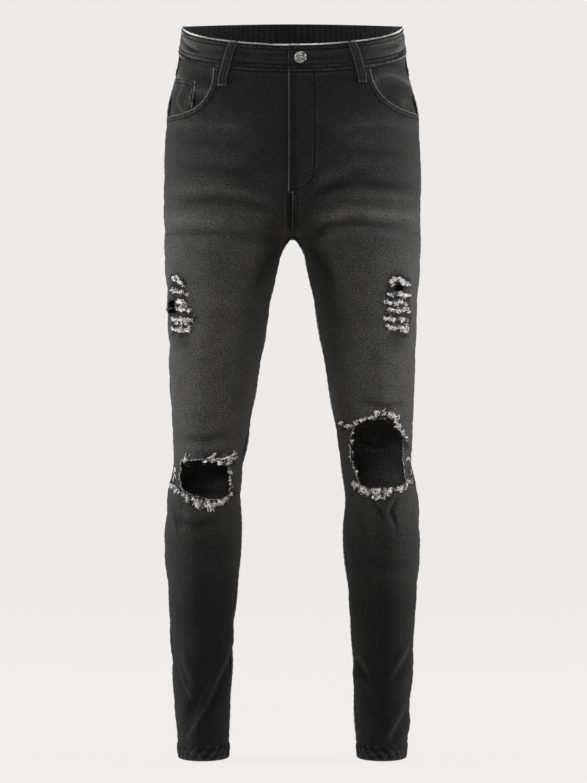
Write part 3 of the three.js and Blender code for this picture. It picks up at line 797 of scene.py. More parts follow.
def cut(sheet, outline, keep, cell, way=FRONT, cuts=2):
    """Cuts a sheet in turns and heights along an outline in distance from the middle and height.
    keep says which part stays. The cells by the outline are divided, and the cut follows it."""
    margin = 2.2 * cell

    def distances():
        sheet.verts.index_update()
        turn, z = flat_places(sheet).T
        plane = np.stack([skin_x(turn, z), z], axis=-1)
        distance = np.full(len(plane), 1.0)
        nearest = plane.copy()
        low, high = outline.min(axis=0) - 2 * margin, outline.max(axis=0) + 2 * margin
        close = ((plane > low) & (plane < high)).all(axis=1)
        if close.any():
            distance[close], nearest[close] = to_outline(plane[close], outline)
        return distance, nearest

    distance, _ = distances()
    beside = [
        e for e in sheet.edges
        if max(abs(distance[e.verts[0].index]), abs(distance[e.verts[1].index])) < margin
    ]
    bmesh.ops.subdivide_edges(sheet, edges=beside, cuts=cuts, use_grid_fill=True)
    distance, _ = distances()
    gone = []
    for face in sheet.faces:
        middle = sum(distance[v.index] for v in face.verts) / len(face.verts)
        if (middle < 0) == (keep == "outside"):
            gone.append(face)
    bmesh.ops.delete(sheet, geom=gone, context="FACES")
    distance, nearest = distances()
    for vertex in sheet.verts:
        k = vertex.index
        if vertex.is_boundary and abs(distance[k]) < cell:
            x, z = nearest[k]
            turn = float(turn_at(x, z))
            vertex.co = (turn if way == FRONT else 1 - turn, z, 0.0)


def put(name, data):
    """A new object in the scene."""
    made = bpy.data.objects.new(name, data)
    bpy.context.collection.objects.link(made)
    return made


def finish_piece(name, mesh_source, material_list, replaced=(), attributes=None, uv=None,
                 thickness=0.0, inside=False):
    """An object at the origin from a bmesh or a mesh, that rides on the body."""
    if isinstance(mesh_source, bmesh.types.BMesh):
        mesh = bpy.data.meshes.new(name)
        mesh_source.to_mesh(mesh)
        mesh_source.free()
    else:
        mesh = mesh_source
        mesh.name = name
    for key, values in (attributes or {}).items():
        layer = mesh.attributes.new(key, "FLOAT", "POINT")
        layer.data.foreach_set("value", np.asarray(values, np.float32))
    if uv is not None:
        layer = mesh.uv_layers.new(name="cloth")
        corners = np.empty(len(mesh.loops), np.int32)
        mesh.loops.foreach_get("vertex_index", corners)
        layer.data.foreach_set("uv", np.asarray(uv, np.float32)[corners].ravel())
    for material in material_list:
        mesh.materials.append(material)
    mesh.polygons.foreach_set("use_smooth", [True] * len(mesh.polygons))
    piece = put(f"{name}_look" if replaced else name, mesh)
    if thickness:
        wall = piece.modifiers.new("thickness", "SOLIDIFY")
        wall.thickness = thickness
        wall.offset = -1.0
        wall.use_even_offset = False
        if inside:
            wall.material_offset = 1
    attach(piece, "root")
    if replaced:
        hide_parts(*replaced)
    return piece


FAR = 0.02  # as far from a seam as matters


def note_cut(sheet, u, v):
    """Lays the sheet flat and works out its area, which is not kept."""
    move_to(sheet, np.stack([u, v, np.zeros_like(u)], axis=-1))
    sum(face.calc_area() for face in sheet.faces)


def lay_cloth(name, sheet, hand, lift, thickness=1.3 * MM, tone=None, edge=None, joint=None):
    """Lays a sheet in turns and heights on the form, with its fading and painted light, and makes it a piece.
    """
    turn, z = flat_places(sheet).T
    stand = lift(turn, z) if callable(lift) else lift
    points, _ = cloth(hand, turn, z, stand)
    dye_with_painted_light = fading_and_painted_light(hand, turn, z)
    if tone is not None:
        dye_with_painted_light = dye_with_painted_light * tone(turn, z)
    across = np.sign(turn) * arc(np.abs(turn), z)
    note_cut(sheet, across, z)
    move_to(sheet, points)
    if hand < 0:
        bmesh.ops.reverse_faces(sheet, faces=sheet.faces)
    uv = np.stack([across * hand, z], axis=-1)
    from_edge = np.full_like(turn, FAR) if edge is None else np.minimum(edge(turn, z), FAR)
    from_joint = np.full_like(turn, FAR) if joint is None else np.minimum(joint(turn, z), FAR)
    return finish_piece(
        name, sheet, [DENIM, DENIM_INSIDE], [name],
        attributes={"dye_with_painted_light": dye_with_painted_light, "edge": from_edge, "joint": from_joint}, uv=uv,
        thickness=thickness, inside=True,
    )


def sheet_between(columns, rows, start, end, bottom, top):
    """A sheet in turns and heights. bottom and top are heights, or functions of the turn."""
    sheet = flat_grid(columns, rows)
    u, v = flat_places(sheet).T
    turn = start + (end - start) * u
    low, high = (level(turn) if callable(level) else level for level in (bottom, top))
    move_to(sheet, np.stack([turn, low + (high - low) * v], axis=-1))
    return sheet


DOUBLED = (0.009, 0.012)  # how far in from a double-stitched edge the cloth settles to one layer


def lapped(distance, height):
    """How far a turned edge stands above the cloth it is sewn to."""
    return height * (1 - smoothstep(distance, *DOUBLED))


# ---------------------------------------------------------------- the panels of the legs
COLUMNS = 64
ROWS = 300
CELL = 3.2 * MM
RISE_SHARE, FORK_SHARE, ARCH_SHARE = 0.16, 0.28, 0.42
ARCH_DROP = 0.120


def panel_heights(v, turn, top_seam):
    """Heights of a panel's rows, v from 0 at the top seam to 1 at the hem."""
    top = top_seam(turn)
    rise = top + (FORK - top) * v / RISE_SHARE
    under = np.clip((v - RISE_SHARE) / (FORK_SHARE - RISE_SHARE), 0, 1)
    fork = FORK - (FORK - CROTCH) * np.sin(under * np.pi / 2)
    arch = CROTCH - ARCH_DROP * ((v - FORK_SHARE) / (ARCH_SHARE - FORK_SHARE)) ** 2
    start = CROTCH - ARCH_DROP
    leg = start + (LEG_END - start) * (v - ARCH_SHARE) / (1 - ARCH_SHARE)
    return np.select([v <= RISE_SHARE, v <= FORK_SHARE, v <= ARCH_SHARE], [rise, fork, arch], leg)


def panel_sheet(way, top_seam):
    """A front or a back in turns and heights, with rows that follow the fork."""
    sheet = flat_grid(COLUMNS, ROWS)
    places = flat_places(sheet)
    turn = places[:, 0] / 2 + (0.5 if way == BACK else 0)
    heights = panel_heights(1 - places[:, 1], turn, top_seam)
    move_to(sheet, np.stack([turn, heights], axis=-1))
    return sheet


# Half width, depth and squareness of the two pocket mouths, about one middle.
MOUTH_MIDDLE = (0.172, -0.064)
MOUTH_SIZES = {LEFT: (0.065, 0.060, 2.05), RIGHT: (0.0635, 0.064, 2.5)}


def pocket_mouth(hand, grown=0.0, step=1.5 * MM):
    wide, deep, square = MOUTH_SIZES[hand]
    wide, deep = wide + grown, deep + grown
    angle = np.linspace(0, 2 * math.pi, int(math.pi * (wide + deep) / step), endpoint=False)
    cosine, sine = np.cos(angle), np.sin(angle)
    x = MOUTH_MIDDLE[0] + wide * np.sign(cosine) * np.abs(cosine) ** (2 / square)
    z = MOUTH_MIDDLE[1] + deep * np.sign(sine) * np.abs(sine) ** (2 / square)
    return np.stack([x, z], axis=-1)


POCKET_MOUTH = {hand: pocket_mouth(hand) for hand in (LEFT, RIGHT)}
# Outlines of the holes, as distance from the middle and height in millimetres.
KNEE_HOLE = {
    RIGHT: ((153, -609), (148, -605), (127, -603), (106, -604), (97, -609), (89, -613), (87, -630),
            (88, -647), (94, -656), (110, -658), (127, -654), (140, -651), (151, -644), (155, -630)),
    LEFT: ((90, -549), (108, -546), (136, -546), (142, -553), (148, -561), (153, -573), (153, -602),
           (153, -634), (148, -640), (124, -642), (104, -643), (91, -636), (86, -616), (81, -601),
           (82, -569)),
}
THIGH_RIP = {
    RIGHT: ((168, -384), (160, -386), (157, -395), (160, -404), (167, -406), (171, -395)),
    LEFT: ((138, -366), (145, -361), (152, -366), (150, -374), (144, -377), (139, -374)),
}
ragged = np.random.default_rng(21)
HOLES = {
    hand: [
        ragged_outline(np.array(outline) * MM, 1.3 * MM, 0.55 * MM, 1.2 * MM, ragged)
        for outline in (KNEE_HOLE[hand], THIGH_RIP[hand])
    ]
    for hand in (LEFT, RIGHT)
}


def from_mouth(hand, turn, z):
    """Distance out of the pocket mouth, for places near it."""
    distance = np.full_like(turn, FAR)
    close = (z > -0.16) & (turn < 0.501) & (turn > 0.1)
    if close.any():
        x = skin(turn[close], z[close])[..., 0]
        distance[close] = to_outline(np.stack([x, z[close]], axis=-1), POCKET_MOUTH[hand])[0]
    return distance


def below_band(turn, z):
    return waist_seam(np.abs(turn)) - z


def front_panel(hand):
    """A front: its pocket mouth, knee hole and thigh rip are cut out while it is flat."""
    sheet = panel_sheet(FRONT, waist_seam)
    cut(sheet, POCKET_MOUTH[hand], "outside", CELL)
    for outline in HOLES[hand]:
        cut(sheet, outline, "outside", CELL)

    def lift(turn, z):
        return lapped(np.abs(from_mouth(hand, turn, z)), 0.7 * MM)

    def edge(turn, z):
        rise = np.where((z < -0.238) & (z > CROTCH) & (hand == LEFT), arc(turn, z) + 0.9 * MM, FAR)
        inside = np.where(z < CROTCH, arc(turn, z) + 1.0 * MM, FAR)
        return np.minimum(np.minimum(from_mouth(hand, turn, z), rise), inside)

    def joint(turn, z):
        side = arc(np.full_like(turn, 0.5), z) - arc(turn, z)
        middle = np.where((z > CROTCH) & (hand == RIGHT), np.maximum(arc(turn, z) - 6 * MM, 0), FAR)
        return np.minimum(np.minimum(side, middle), below_band(turn, z))

    name = f"front_{SIDE_NAME[hand]}"
    return lay_cloth(name, sheet, hand, lift, edge=edge, joint=joint)


def back_panel(hand):
    """A back, whole from the yoke seam to the hem."""
    def edge(turn, z):
        side = np.where(z > -0.24, arc(turn, z) - arc(np.full_like(turn, 0.5), z), FAR)
        inside = arc(np.ones_like(turn), z) - arc(turn, z)
        return np.minimum(side, inside)

    def joint(turn, z):
        side = arc(turn, z) - arc(np.full_like(turn, 0.5), z)
        return np.minimum(side, yoke_seam(turn) - z)

    name = f"back_{SIDE_NAME[hand]}"
    return lay_cloth(name, panel_sheet(BACK, yoke_seam), hand, 0.0, edge=edge, joint=joint)


def yoke(hand):
    """The yoke laps over the back by a felled seam."""
    sheet = sheet_between(64, 24, 0.5, 1.0, yoke_seam, waist_seam)

    def edge(turn, z):
        return z - yoke_seam(turn)

    def lift(turn, z):
        return lapped(edge(turn, z), 0.8 * MM)

    name = f"yoke_{SIDE_NAME[hand]}"
    return lay_cloth(name, sheet, hand, lift, edge=edge, joint=below_band)


for hand in (LEFT, RIGHT):
    front_panel(hand)
    back_panel(hand)
    yoke(hand)


# ---------------------------------------------------------------- tubes of folded cloth
def rounded_profile(outside, inside, rows, low, high, puff):
    """A closed section of folded cloth: pairs of offset and height, counterclockwise."""
    t = np.linspace(0, 1, rows)
    up = outside + puff(t)
    edge = (outside - inside) / 2
    outer = np.stack([up, low + (high - low) * t], axis=-1)
    angle = np.linspace(0, np.pi, 6)[1:-1]
    over = np.stack([(outside + inside) / 2 + edge * np.cos(angle), high + edge * np.sin(angle)], axis=-1)
    inner = np.stack([np.full(rows, inside), high + (low - high) * t], axis=-1)
    under = np.stack([(outside + inside) / 2 - edge * np.cos(angle), low - edge * np.sin(angle)], axis=-1)
    return np.concatenate([outer, over, inner, under])


def band_place(w):
    """Side and turn on the waistband: w is 0 at the centre front, 1 at the back and 2 in front again."""
    hand = np.select([w < 0, w <= 1, w <= 2], [RIGHT, LEFT, RIGHT], LEFT)
    turn = np.select([w < 0, w <= 1, w <= 2], [-w, w, 2 - w], w - 2)
    return hand, turn


BUTTON_AT = (0.011, -0.054)
# Turns past the centre front of the over end, of the tail under it, and where the tail starts to sink.
LAP, TAIL, TUCK = (float(turn_at(x, BUTTON_AT[1])) for x in (0.006, 0.030, 0.042))
BAND_OUT, BAND_IN = 1.2 * MM, -1.6 * MM
BAND_UNDER = 3.8 * MM


def band_point(w, off, t):
    """A point of the waistband: off out of the skin, t from 0 at its lower edge to 1 at its top."""
    hand, turn = band_place(w)
    z = waist_top(turn) - BAND_HEIGHT * (1 - t)
    sunk = BAND_UNDER * smoothstep(w, 2 - TUCK, 2 - TAIL)
    out = level_out(turn, z)
    points = skin(turn, z) + out * (off - sunk)[..., None]
    points[..., 0] *= hand
    return points


def band_puff(t):
    """The band swells between its rows of stitching."""
    return 0.55 * MM * np.sin(np.pi * np.clip((t - 0.07) / 0.86, 0, 1)) ** 0.6 - 0.1 * MM


def finish_tube(name, sheet, values, ends):
    """Closes a tube, and its ends too if asked, and makes it a piece. values are the dye with its painted
    light, distances and cloth places of its vertices."""
    keys = ("dye_with_painted_light", "edge", "joint", "u", "v")
    layers = [sheet.verts.layers.float.new("tube_" + key) for key in keys]
    for vertex, row in zip(sheet.verts, np.stack(values, axis=-1)):
        for layer, value in zip(layers, row):
            vertex[layer] = value
    bmesh.ops.remove_doubles(sheet, verts=sheet.verts, dist=1e-6)
    if ends:
        bmesh.ops.holes_fill(sheet, edges=[e for e in sheet.edges if e.is_boundary], sides=0)
    bmesh.ops.recalc_face_normals(sheet, faces=sheet.faces)
    kept = np.array([[vertex[layer] for layer in layers] for vertex in sheet.verts])
    for key in keys:
        sheet.verts.layers.float.remove(sheet.verts.layers.float["tube_" + key])
    attributes = {key: kept[:, k] for k, key in enumerate(keys[:3])}
    return finish_piece(name, sheet, [DENIM], [name], attributes=attributes, uv=kept[:, 3:])


BAND_ROWS, BAND_AROUND = 28, 620
BAND_LEVEL = -0.05  # where the length round the band is measured
BAND_PLY = 0.45 * MM  # height of the folds that run along it


def waistband():
    edge = (BAND_OUT - BAND_IN) / 2
    section = rounded_profile(BAND_OUT, BAND_IN, BAND_ROWS, edge, BAND_HEIGHT - edge, band_puff)
    sheet = flat_grid(BAND_AROUND, len(section))
    places = flat_places(sheet)
    w = -LAP + (2 + TAIL + LAP) * places[:, 0]
    k = np.rint(places[:, 1] * len(section)).astype(int) % len(section)
    off, height = section[k, 0], section[k, 1]
    share = height / BAND_HEIGHT
    hand, turn = band_place(w)
    level = np.full_like(w, BAND_LEVEL)
    whole = arc(np.ones_like(w), level)
    length = np.where(w <= 1, arc(np.clip(w, -1, 1), level), 2 * whole - arc(np.clip(2 - w, 0, 1), level))
    length = np.where(w > 2, 2 * whole + arc(np.clip(w - 2, 0, 1), level), length)
    outside = off > (BAND_OUT + BAND_IN) / 2
    rows = np.exp(-(((share - 0.2) / 0.13) ** 2)) + 0.7 * np.exp(-(((share - 0.92) / 0.07) ** 2))
    ruck = 0.3 * MM * rows * np.sin(2 * np.pi * length / 0.0088 + 2 * np.sin(length * 71))
    # Shallow folds run along the band.
    broken = 0.55 + 0.45 * np.sin(length * 57 + 2 * np.sin(length * 23 + share * 5))
    ply = BAND_PLY * np.sin(share * 17 + 3 * np.sin(length * 19) + 1.6 * np.sin(length * 47)) * broken
    off = off + np.where(outside, ruck + ply * np.sin(np.pi * np.clip(share, 0, 1)), 0)
    # Inside, the cloth is gathered in small upright ribs.
    rib = np.sin(2 * np.pi * length / 0.0085 + 2.5 * np.sin(length * 37))
    off = off + np.where(outside, 0, 0.25 * MM * rib * np.sin(np.pi * share))
    points = band_point(w, off, share)
    z = waist_top(turn) - BAND_HEIGHT * (1 - share)
    dye_with_painted_light = fading_and_painted_light(hand, turn, z)
    fold = np.where(outside, ply / BAND_PLY, 0)
    patchy = 0.5 + 0.5 * np.sin(length * 23 + 1) * np.sin(length * 61)
    rim = smoothstep(share, 0.93, 0.965) * smoothstep(0.49 - turn, 0, 0.03) * (off > 0)
    # Inside, painted light and shade on the ribs; the inside is also lighter towards the sides.
    inner = 0.8 + 0.25 * rib + 0.5 * smoothstep(np.abs(turn - 0.5), 0.13, 0.02)
    # Painted highlights on the tops of the band's folds and painted shade in their hollows, stronger towards
    # the sides.
    fold_light_gain = 1 + 1.4 * smoothstep(turn, 0.26, 0.42)
    dye_with_painted_light = dye_with_painted_light * (1 + fold_light_gain * (0.22 + 0.25 * patchy) * fold) * np.where(outside, 1.1, inner)
    # The end of the over lap has a rubbed pale edge, with a painted shadow beside it on the layer under it.
    from_end = (w + LAP) * whole
    under_end = (2 - LAP - w) * whole
    dye_with_painted_light = dye_with_painted_light * (1 + 4.0 * outside * np.exp(-(((from_end - 0.6 * MM) / (1.1 * MM)) ** 2)))
    dye_with_painted_light = dye_with_painted_light * (1 - 0.6 * outside * np.exp(-(((under_end - 1.0 * MM) / (1.6 * MM)) ** 2)))
    dye_with_painted_light = dye_with_painted_light + rim * (0.20 + 0.40 * patchy**2)
    low = np.where(height < 3.4 * MM, 4.8 * MM, height - 2.36 * MM)
    from_top = np.where(share < 0.93, BAND_HEIGHT - height - 0.8 * MM, FAR)
    from_edge = np.where(outside, np.where(share < 0.6, low, from_top), FAR)
    from_joint = np.where(outside & (share < 0.93), height + 0.3 * MM, FAR)
    move_to(sheet, points)
    values = (dye_with_painted_light, from_edge, from_joint, length, height + np.where(outside, 0, 0.06))
    return finish_tube("waistband", sheet, values, ends=True)


waistband()


HEM_AROUND = 260
HEM_ROPE = 0.6 * MM  # height of the slanted ripples


def hem(hand):
    """The turned up end of a leg, roped by its stitching."""
    name = f"hem_{SIDE_NAME[hand]}"
    outside, inside = 0.9 * MM, -2.0 * MM
    edge = (outside - inside) / 2
    depth = LEG_END - HEM_END
    section = rounded_profile(outside, inside, 10, edge, depth - 0.2 * MM,
                              lambda t: 0.35 * MM * np.sin(np.pi * t))
    sheet = flat_grid(HEM_AROUND, len(section))
    places = flat_places(sheet)
    turn = places[:, 0] % 1.0
    k = np.rint(places[:, 1] * len(section)).astype(int) % len(section)
    off, height = section[k, 0], section[k, 1]
    z = HEM_END + height
    length = arc(places[:, 0], np.full_like(turn, -1.01))
    rope = HEM_ROPE * np.sin(2 * np.pi * (length + 0.7 * height) / 0.012 + 1.5 * np.sin(length * 55))
    off = off + np.where(off > 0, rope * np.exp(-(((height - 0.012) / 0.008) ** 2)), 0)
    out = outward(turn, z)
    crease = creased(np.full_like(turn, hand), turn, np.maximum(z, LEG_END), skin(turn, z)[:, 0])
    points = skin(turn, z) + out * (off + crease)[:, None]
    points[:, 0] *= hand
    dye_with_painted_light = fading_and_painted_light(hand, turn, z)
    dye_with_painted_light = dye_with_painted_light * (1 + 2.2 * np.exp(-((height / 0.0022) ** 2)) + 1.3 * np.maximum(rope / HEM_ROPE, -0.3))
    from_edge = np.minimum(np.abs(height - 0.0165) + 2 * MM, 4.5 * MM)
    move_to(sheet, points)
    values = (dye_with_painted_light, from_edge, np.full_like(dye_with_painted_light, FAR), length, height)
    return finish_tube(name, sheet, values, ends=False)


hem(LEFT)
hem(RIGHT)


# ---------------------------------------------------------------- pieces that lie on the panels
HALF_GIRTH = 0.42  # round the hips, to share out the columns of a patch


def patch(name, hand, way, outline, lift, thickness, tone=None, cell=2.6 * MM,
          edge=None):
    """A patch with an outline in distance from the middle and height, on the front or the back."""
    low, high = outline.min(axis=0) - 2 * cell, outline.max(axis=0) + 2 * cell
    heights = (low[1], (low[1] + high[1]) / 2, high[1])
    turns = [float(turn_at(x, z)) for x in (low[0], high[0]) for z in heights]
    start, end = min(turns), min(max(turns), 0.5)
    if way == BACK:
        start, end = 1 - end, 1 - start
    columns = int((end - start) * HALF_GIRTH / cell) + 4
    rows = int((high[1] - low[1]) / cell)
    sheet = sheet_between(columns, rows, start, end, low[1], high[1])
    cut(sheet, outline, "inside", cell, way)
    return lay_cloth(name, sheet, hand, lift, thickness, tone, edge)


def dense(points, step=1.2 * MM):
    """A closed outline with straight sides, with a vertex every step."""
    points = np.asarray(points, float)
    drawn = []
    for a, b in zip(points, np.roll(points, -1, axis=0)):
        count = max(int(np.linalg.norm(b - a) / step), 1)
        drawn += [a + (b - a) * k / count for k in range(count)]
    return np.array(drawn)


FACING_START, FACING_END = 0.235, -0.142  # the turn where it starts and the height where it ends
FAN_MIDDLE = (0.178, -0.128)  # its folds fan out from here


def facing(hand):
    """The cloth behind the pocket mouth, up to the waistband and the side seam."""
    sheet = sheet_between(60, 60, FACING_START, 0.5, FACING_END, waist_seam)
    outline = pocket_mouth(hand, 12 * MM, 2 * MM)
    outline[:, 0] = np.minimum(outline[:, 0], 0.1850)
    cut(sheet, outline, "inside", 2.6 * MM, cuts=1)

    def puffed(turn, z):
        """Soft folds, from -1 to 1."""
        x, up = skin(turn, z)[..., 0] - FAN_MIDDLE[0], z - FAN_MIDDLE[1]
        reach, sweep = np.hypot(x, up), np.arctan2(up, x)
        return np.sin(reach * 130 + 2.2 * np.sin(sweep * 4 + hand)) * smoothstep(reach, 0.006, 0.03)

    def lift(turn, z):
        return -2.6 * MM + 1.0 * MM * puffed(turn, z)

    # Painted highlights on the tops of the folds and painted shade in their hollows, brighter towards the
    # side seam; the folds are also rubbed pale.
    def tone(turn, z):
        fold = puffed(turn, z)
        side = smoothstep(turn, 0.36, 0.5)
        return 0.85 + 0.4 * fold + (0.8 + 1.2 * side) * np.exp(-(((fold - 1) / 0.12) ** 2))

    name = f"pocket_facing_{SIDE_NAME[hand]}"
    # Painted shade on the facing just under the pocket mouth's edge, through the seam ramp.
    lay_cloth(name, sheet, hand, lift, 1.0 * MM, tone,
              joint=lambda turn, z: np.maximum(-from_mouth(hand, turn, z), 0))


facing(LEFT)
facing(RIGHT)


def inside_of(outline):
    """Distance in from the edge of a patch."""
    def distance(turn, z):
        x = skin(turn, z)[..., 0]
        return np.maximum(-to_outline(np.stack([x, z], axis=-1), outline)[0], 0)
    return distance


COIN = dense(np.array([(134.4, -83), (141, -136), (171, -136), (167, -72.5)]) * MM)


def coin_lift(turn, z):
    return -0.9 * MM + 0.35 * MM * np.sin(turn * 95 + z * 60)


def coin_tone(turn, z):
    fold = np.sin(turn * 120 - z * 90 + 2 * np.sin(z * 130))
    return 0.8 + 1.4 * smoothstep(fold, 0.35, 1) * smoothstep(turn, 0.31, 0.36)


def coin_edge(turn, z):
    """Only the top and the side towards the middle show their turned edge."""
    gap, _ = from_line(skin(turn, z)[..., 0] / MM, z / MM, ((170, -71.5), (134.4, -83), (141, -136)))
    return (gap + 1.0) * MM


patch("coin_pocket", RIGHT, FRONT, COIN, coin_lift, 1.2 * MM, coin_tone, edge=coin_edge, cell=2.2 * MM)

BACK_POCKET = dense(np.array([(24, -129), (140, -120), (134, -238), (82, -264), (30, -247)]) * MM)


def pocket_edge(turn, z):
    gap = inside_of(BACK_POCKET)(turn, z)
    return 1.5 * MM + 0.5 * MM * (1 - smoothstep(gap, 0.003, 0.006)) - 0.9 * MM * (gap < 0.0012)


for hand in (LEFT, RIGHT):
    patch(f"back_pocket_{SIDE_NAME[hand]}", hand, BACK, BACK_POCKET, pocket_edge, 1.2 * MM,
          edge=inside_of(BACK_POCKET))


# The fly: the left front is turned in and laps over the right one. In millimetres: how far it laps,
# its width to the stitching, its top, where the stitching starts to curve, how deep it curves, its foot.
FLY_LAP, FLY_WIDE, FLY_TOP, FLY_TURN, FLY_ROUND, FLY_FOOT = -6, 36, -60, -208, 32, -240


def fly_curve(degrees):
    """A place on the curve at the foot of the fly, from 0 at its side to -90 at its end."""
    angle = math.radians(degrees)
    return FLY_WIDE * math.cos(angle), FLY_TURN + FLY_ROUND * math.sin(angle)


FLY_OUTLINE = dense(np.array([
    (FLY_LAP, FLY_TOP), (FLY_LAP, FLY_FOOT), (2, FLY_FOOT),
    *(fly_curve(degrees) for degrees in np.linspace(-90, 0, 12)),
    (FLY_WIDE, FLY_TOP),
]) * MM)
FLY_J = [(FLY_WIDE, FLY_TOP), (FLY_WIDE, FLY_TURN), *(fly_curve(degrees) for degrees in range(-8, -91, -8))]


def fly_lift(turn, z):
    x = skin_x(turn, z)
    up = 1.5 * MM * (1 - smoothstep(x, 0.004, 0.022)) + 0.25 * MM
    roll = -0.9 * MM * smoothstep(-x, 0.0045, 0.0062)
    sewn = -0.6 * MM * smoothstep(x, 0.033, 0.0362)
    foot = -1.6 * MM * smoothstep(-z, 0.234, 0.2405)
    return np.maximum(up + roll + sewn + foot, -0.4 * MM)


def fly_tone(turn, z):
    x = skin_x(turn, z)
    return 1 + 5.5 * np.exp(-(((x + 0.0056) / 0.0014) ** 2)) - 0.3 * np.exp(-(((x - 0.001) / 0.004) ** 2))


def fly_edge(turn, z):
    gap, _ = from_line(skin_x(turn, z) / MM, z / MM, FLY_J)
    return (gap + 1.6) * MM


def fly():
    start, end = -float(turn_at(0.010, -0.1)), float(turn_at(0.042, -0.1))
    sheet = sheet_between(44, 120, start, end, -0.246, lambda turn: waist_seam(np.abs(turn)))
    cut(sheet, FLY_OUTLINE, "inside", 1.8 * MM)
    lay_cloth("fly", sheet, LEFT, fly_lift, 1.0 * MM, fly_tone, fly_edge, below_band)


fly()

# ---------------------------------------------------------------- belt loops
LOOP_WIDTH = 0.0124
LOOP_STOPS = np.array([  # share of the length, height above the cloth
    (0.00, 1.6), (0.06, 1.7), (0.13, 5.4), (0.22, 7.0), (0.50, 7.8), (0.78, 7.0), (0.87, 5.4),
    (0.94, 1.0), (1.00, 0.5),
])


def belt_loop(name, hand, way, top_x, bottom_x, below=0.019):
    """A loop between two distances from the middle, that ends below the band."""
    sheet = flat_grid(14, 56)
    places = flat_places(sheet)
    share, side = 1 - places[:, 1], (places[:, 0] - 0.5) * 2
    x = top_x + (bottom_x - top_x) * share
    turn = turn_at(x, np.full_like(x, BUTTON_AT[1]))
    if way == BACK:
        turn = 1 - turn
    top = waist_top(turn) - 1 * MM
    z = top + (waist_seam(turn) - below - top) * share
    out = level_out(turn, z)
    aside = np.stack([-out[:, 1], out[:, 0], np.zeros(len(z))], axis=-1)
    height = np.interp(share, LOOP_STOPS[:, 0], LOOP_STOPS[:, 1]) * MM + 1.2 * MM
    crown = 0.5 * MM * (1 - side**4) + 0.15 * MM * np.sin(share * 40 + side * 2)
    points = skin(turn, z) + out * (height + crown)[:, None] + aside * (side * LOOP_WIDTH / 2)[:, None]
    points[:, 0] *= hand
    dye_with_painted_light = fading_and_painted_light(hand, turn, z)
    # Rims and ends rubbed pale and painted with highlights; darker lines along the rows of stitching, partly
    # painted shade.
    rims = smoothstep(np.abs(side), 0.68, 0.80)
    lines = np.exp(-(((np.abs(side) - 0.48) / 0.15) ** 2))
    ends = np.exp(-((share / 0.03) ** 2)) + np.exp(-(((1 - share) / 0.03) ** 2))
    dye_with_painted_light = (dye_with_painted_light + 0.006) * (1.1 + 2.2 * rims - 0.75 * lines + 2.5 * ends)
    note_cut(sheet, side * LOOP_WIDTH / 2, z)
    move_to(sheet, points)
    if hand < 0:
        bmesh.ops.reverse_faces(sheet, faces=sheet.faces)
    uv = np.stack([side * LOOP_WIDTH / 2, z], axis=-1)
    attributes = {"dye_with_painted_light": dye_with_painted_light, "edge": np.full_like(dye_with_painted_light, FAR), "joint": np.full_like(dye_with_painted_light, FAR)}
    finish_piece(name, sheet, [DENIM], [name], attributes=attributes, uv=uv,
                 thickness=1.8 * MM)


for hand, below in ((LEFT, 0.019), (RIGHT, 0.024)):
    belt_loop(f"belt_loop_front_{SIDE_NAME[hand]}", hand, FRONT, 0.082, 0.092, below)
    belt_loop(f"belt_loop_back_{SIDE_NAME[hand]}", hand, BACK, 0.096, 0.098)
belt_loop("belt_loop_back_middle", LEFT, BACK, 0.0, 0.0)

# ---------------------------------------------------------------- button
def button():
    """A shank button: a turned head with a beaded ring and a stippled middle."""
    low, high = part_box("button")
    front, back = low[1], high[1]
    profile = [  # radius and depth behind the front of the head, in millimetres
        (0.0, 0.35), (2.0, 0.30), (4.0, 0.42), (4.9, 0.70), (5.2, 0.95), (5.5, 0.70), (6.0, 0.25),
        (6.8, 0.0), (7.6, 0.15), (8.2, 0.7), (8.5, 1.5), (8.3, 2.3), (7.6, 2.9), (6.0, 3.1),
        (2.2, 3.2), (2.0, 3.6), (2.0, (back - front) / MM),
    ]
    head = bmesh.new()
    x, z = BUTTON_AT
    line = [head.verts.new((x + r * MM, front + d * MM, z)) for r, d in profile]
    edges = [head.edges.new(pair) for pair in zip(line, line[1:])]
    bmesh.ops.spin(head, geom=line + edges, cent=(x, front, z), axis=(0, 1, 0), dvec=(0, 0, 0),
                   angle=2 * math.pi, steps=48, use_merge=True)
    bmesh.ops.remove_doubles(head, verts=head.verts, dist=1e-6)
    # Rings of beads: how many, then their distance from the middle, depth and radius in millimetres.
    for count, ring, depth, radius in ((28, 5.25, 0.75, 0.52), (6, 1.1, 0.38, 0.42), (13, 2.6, 0.38, 0.42)):
        for k in range(count):
            angle = 2 * math.pi * k / count
            bead = bmesh.ops.create_icosphere(head, subdivisions=1, radius=radius * MM)["verts"]
            place = (x + ring * MM * math.cos(angle), front + depth * MM, z + ring * MM * math.sin(angle))
            bmesh.ops.translate(head, verts=bead, vec=place)
    bmesh.ops.recalc_face_normals(head, faces=head.faces)
    return finish_piece("button", head, [METAL], ["button"])


button()


# ---------------------------------------------------------------- threads
def thread_piece(name, lines, radius, material):
    """Threads along lines, as one mesh of thin tubes."""
    curve = bpy.data.curves.new(name, "CURVE")
    curve.dimensions = "3D"
    curve.bevel_depth = radius
    curve.bevel_resolution = 0
    curve.use_fill_caps = True
    for line in lines:
        spline = curve.splines.new("POLY")
        spline.points.add(len(line) - 1)
        spline.points.foreach_set("co", np.c_[line, np.ones(len(line))].ravel())
    holder = put(name + "_line", curve)
    graph = bpy.context.evaluated_depsgraph_get()
    mesh = bpy.data.meshes.new_from_object(holder.evaluated_get(graph))
    bpy.data.objects.remove(holder)
    bpy.data.curves.remove(curve)
    mesh.materials.clear()
    return finish_piece(name, mesh, [material])


STITCH_PITCH, STITCH_LENGTH = 3.3 * MM, 2.5 * MM
STITCH_SHARES = np.array([0, 0.25, 0.75, 1])
STITCH_RISE = np.array([-0.25, 0.32, 0.32, -0.25])[:, None] * MM


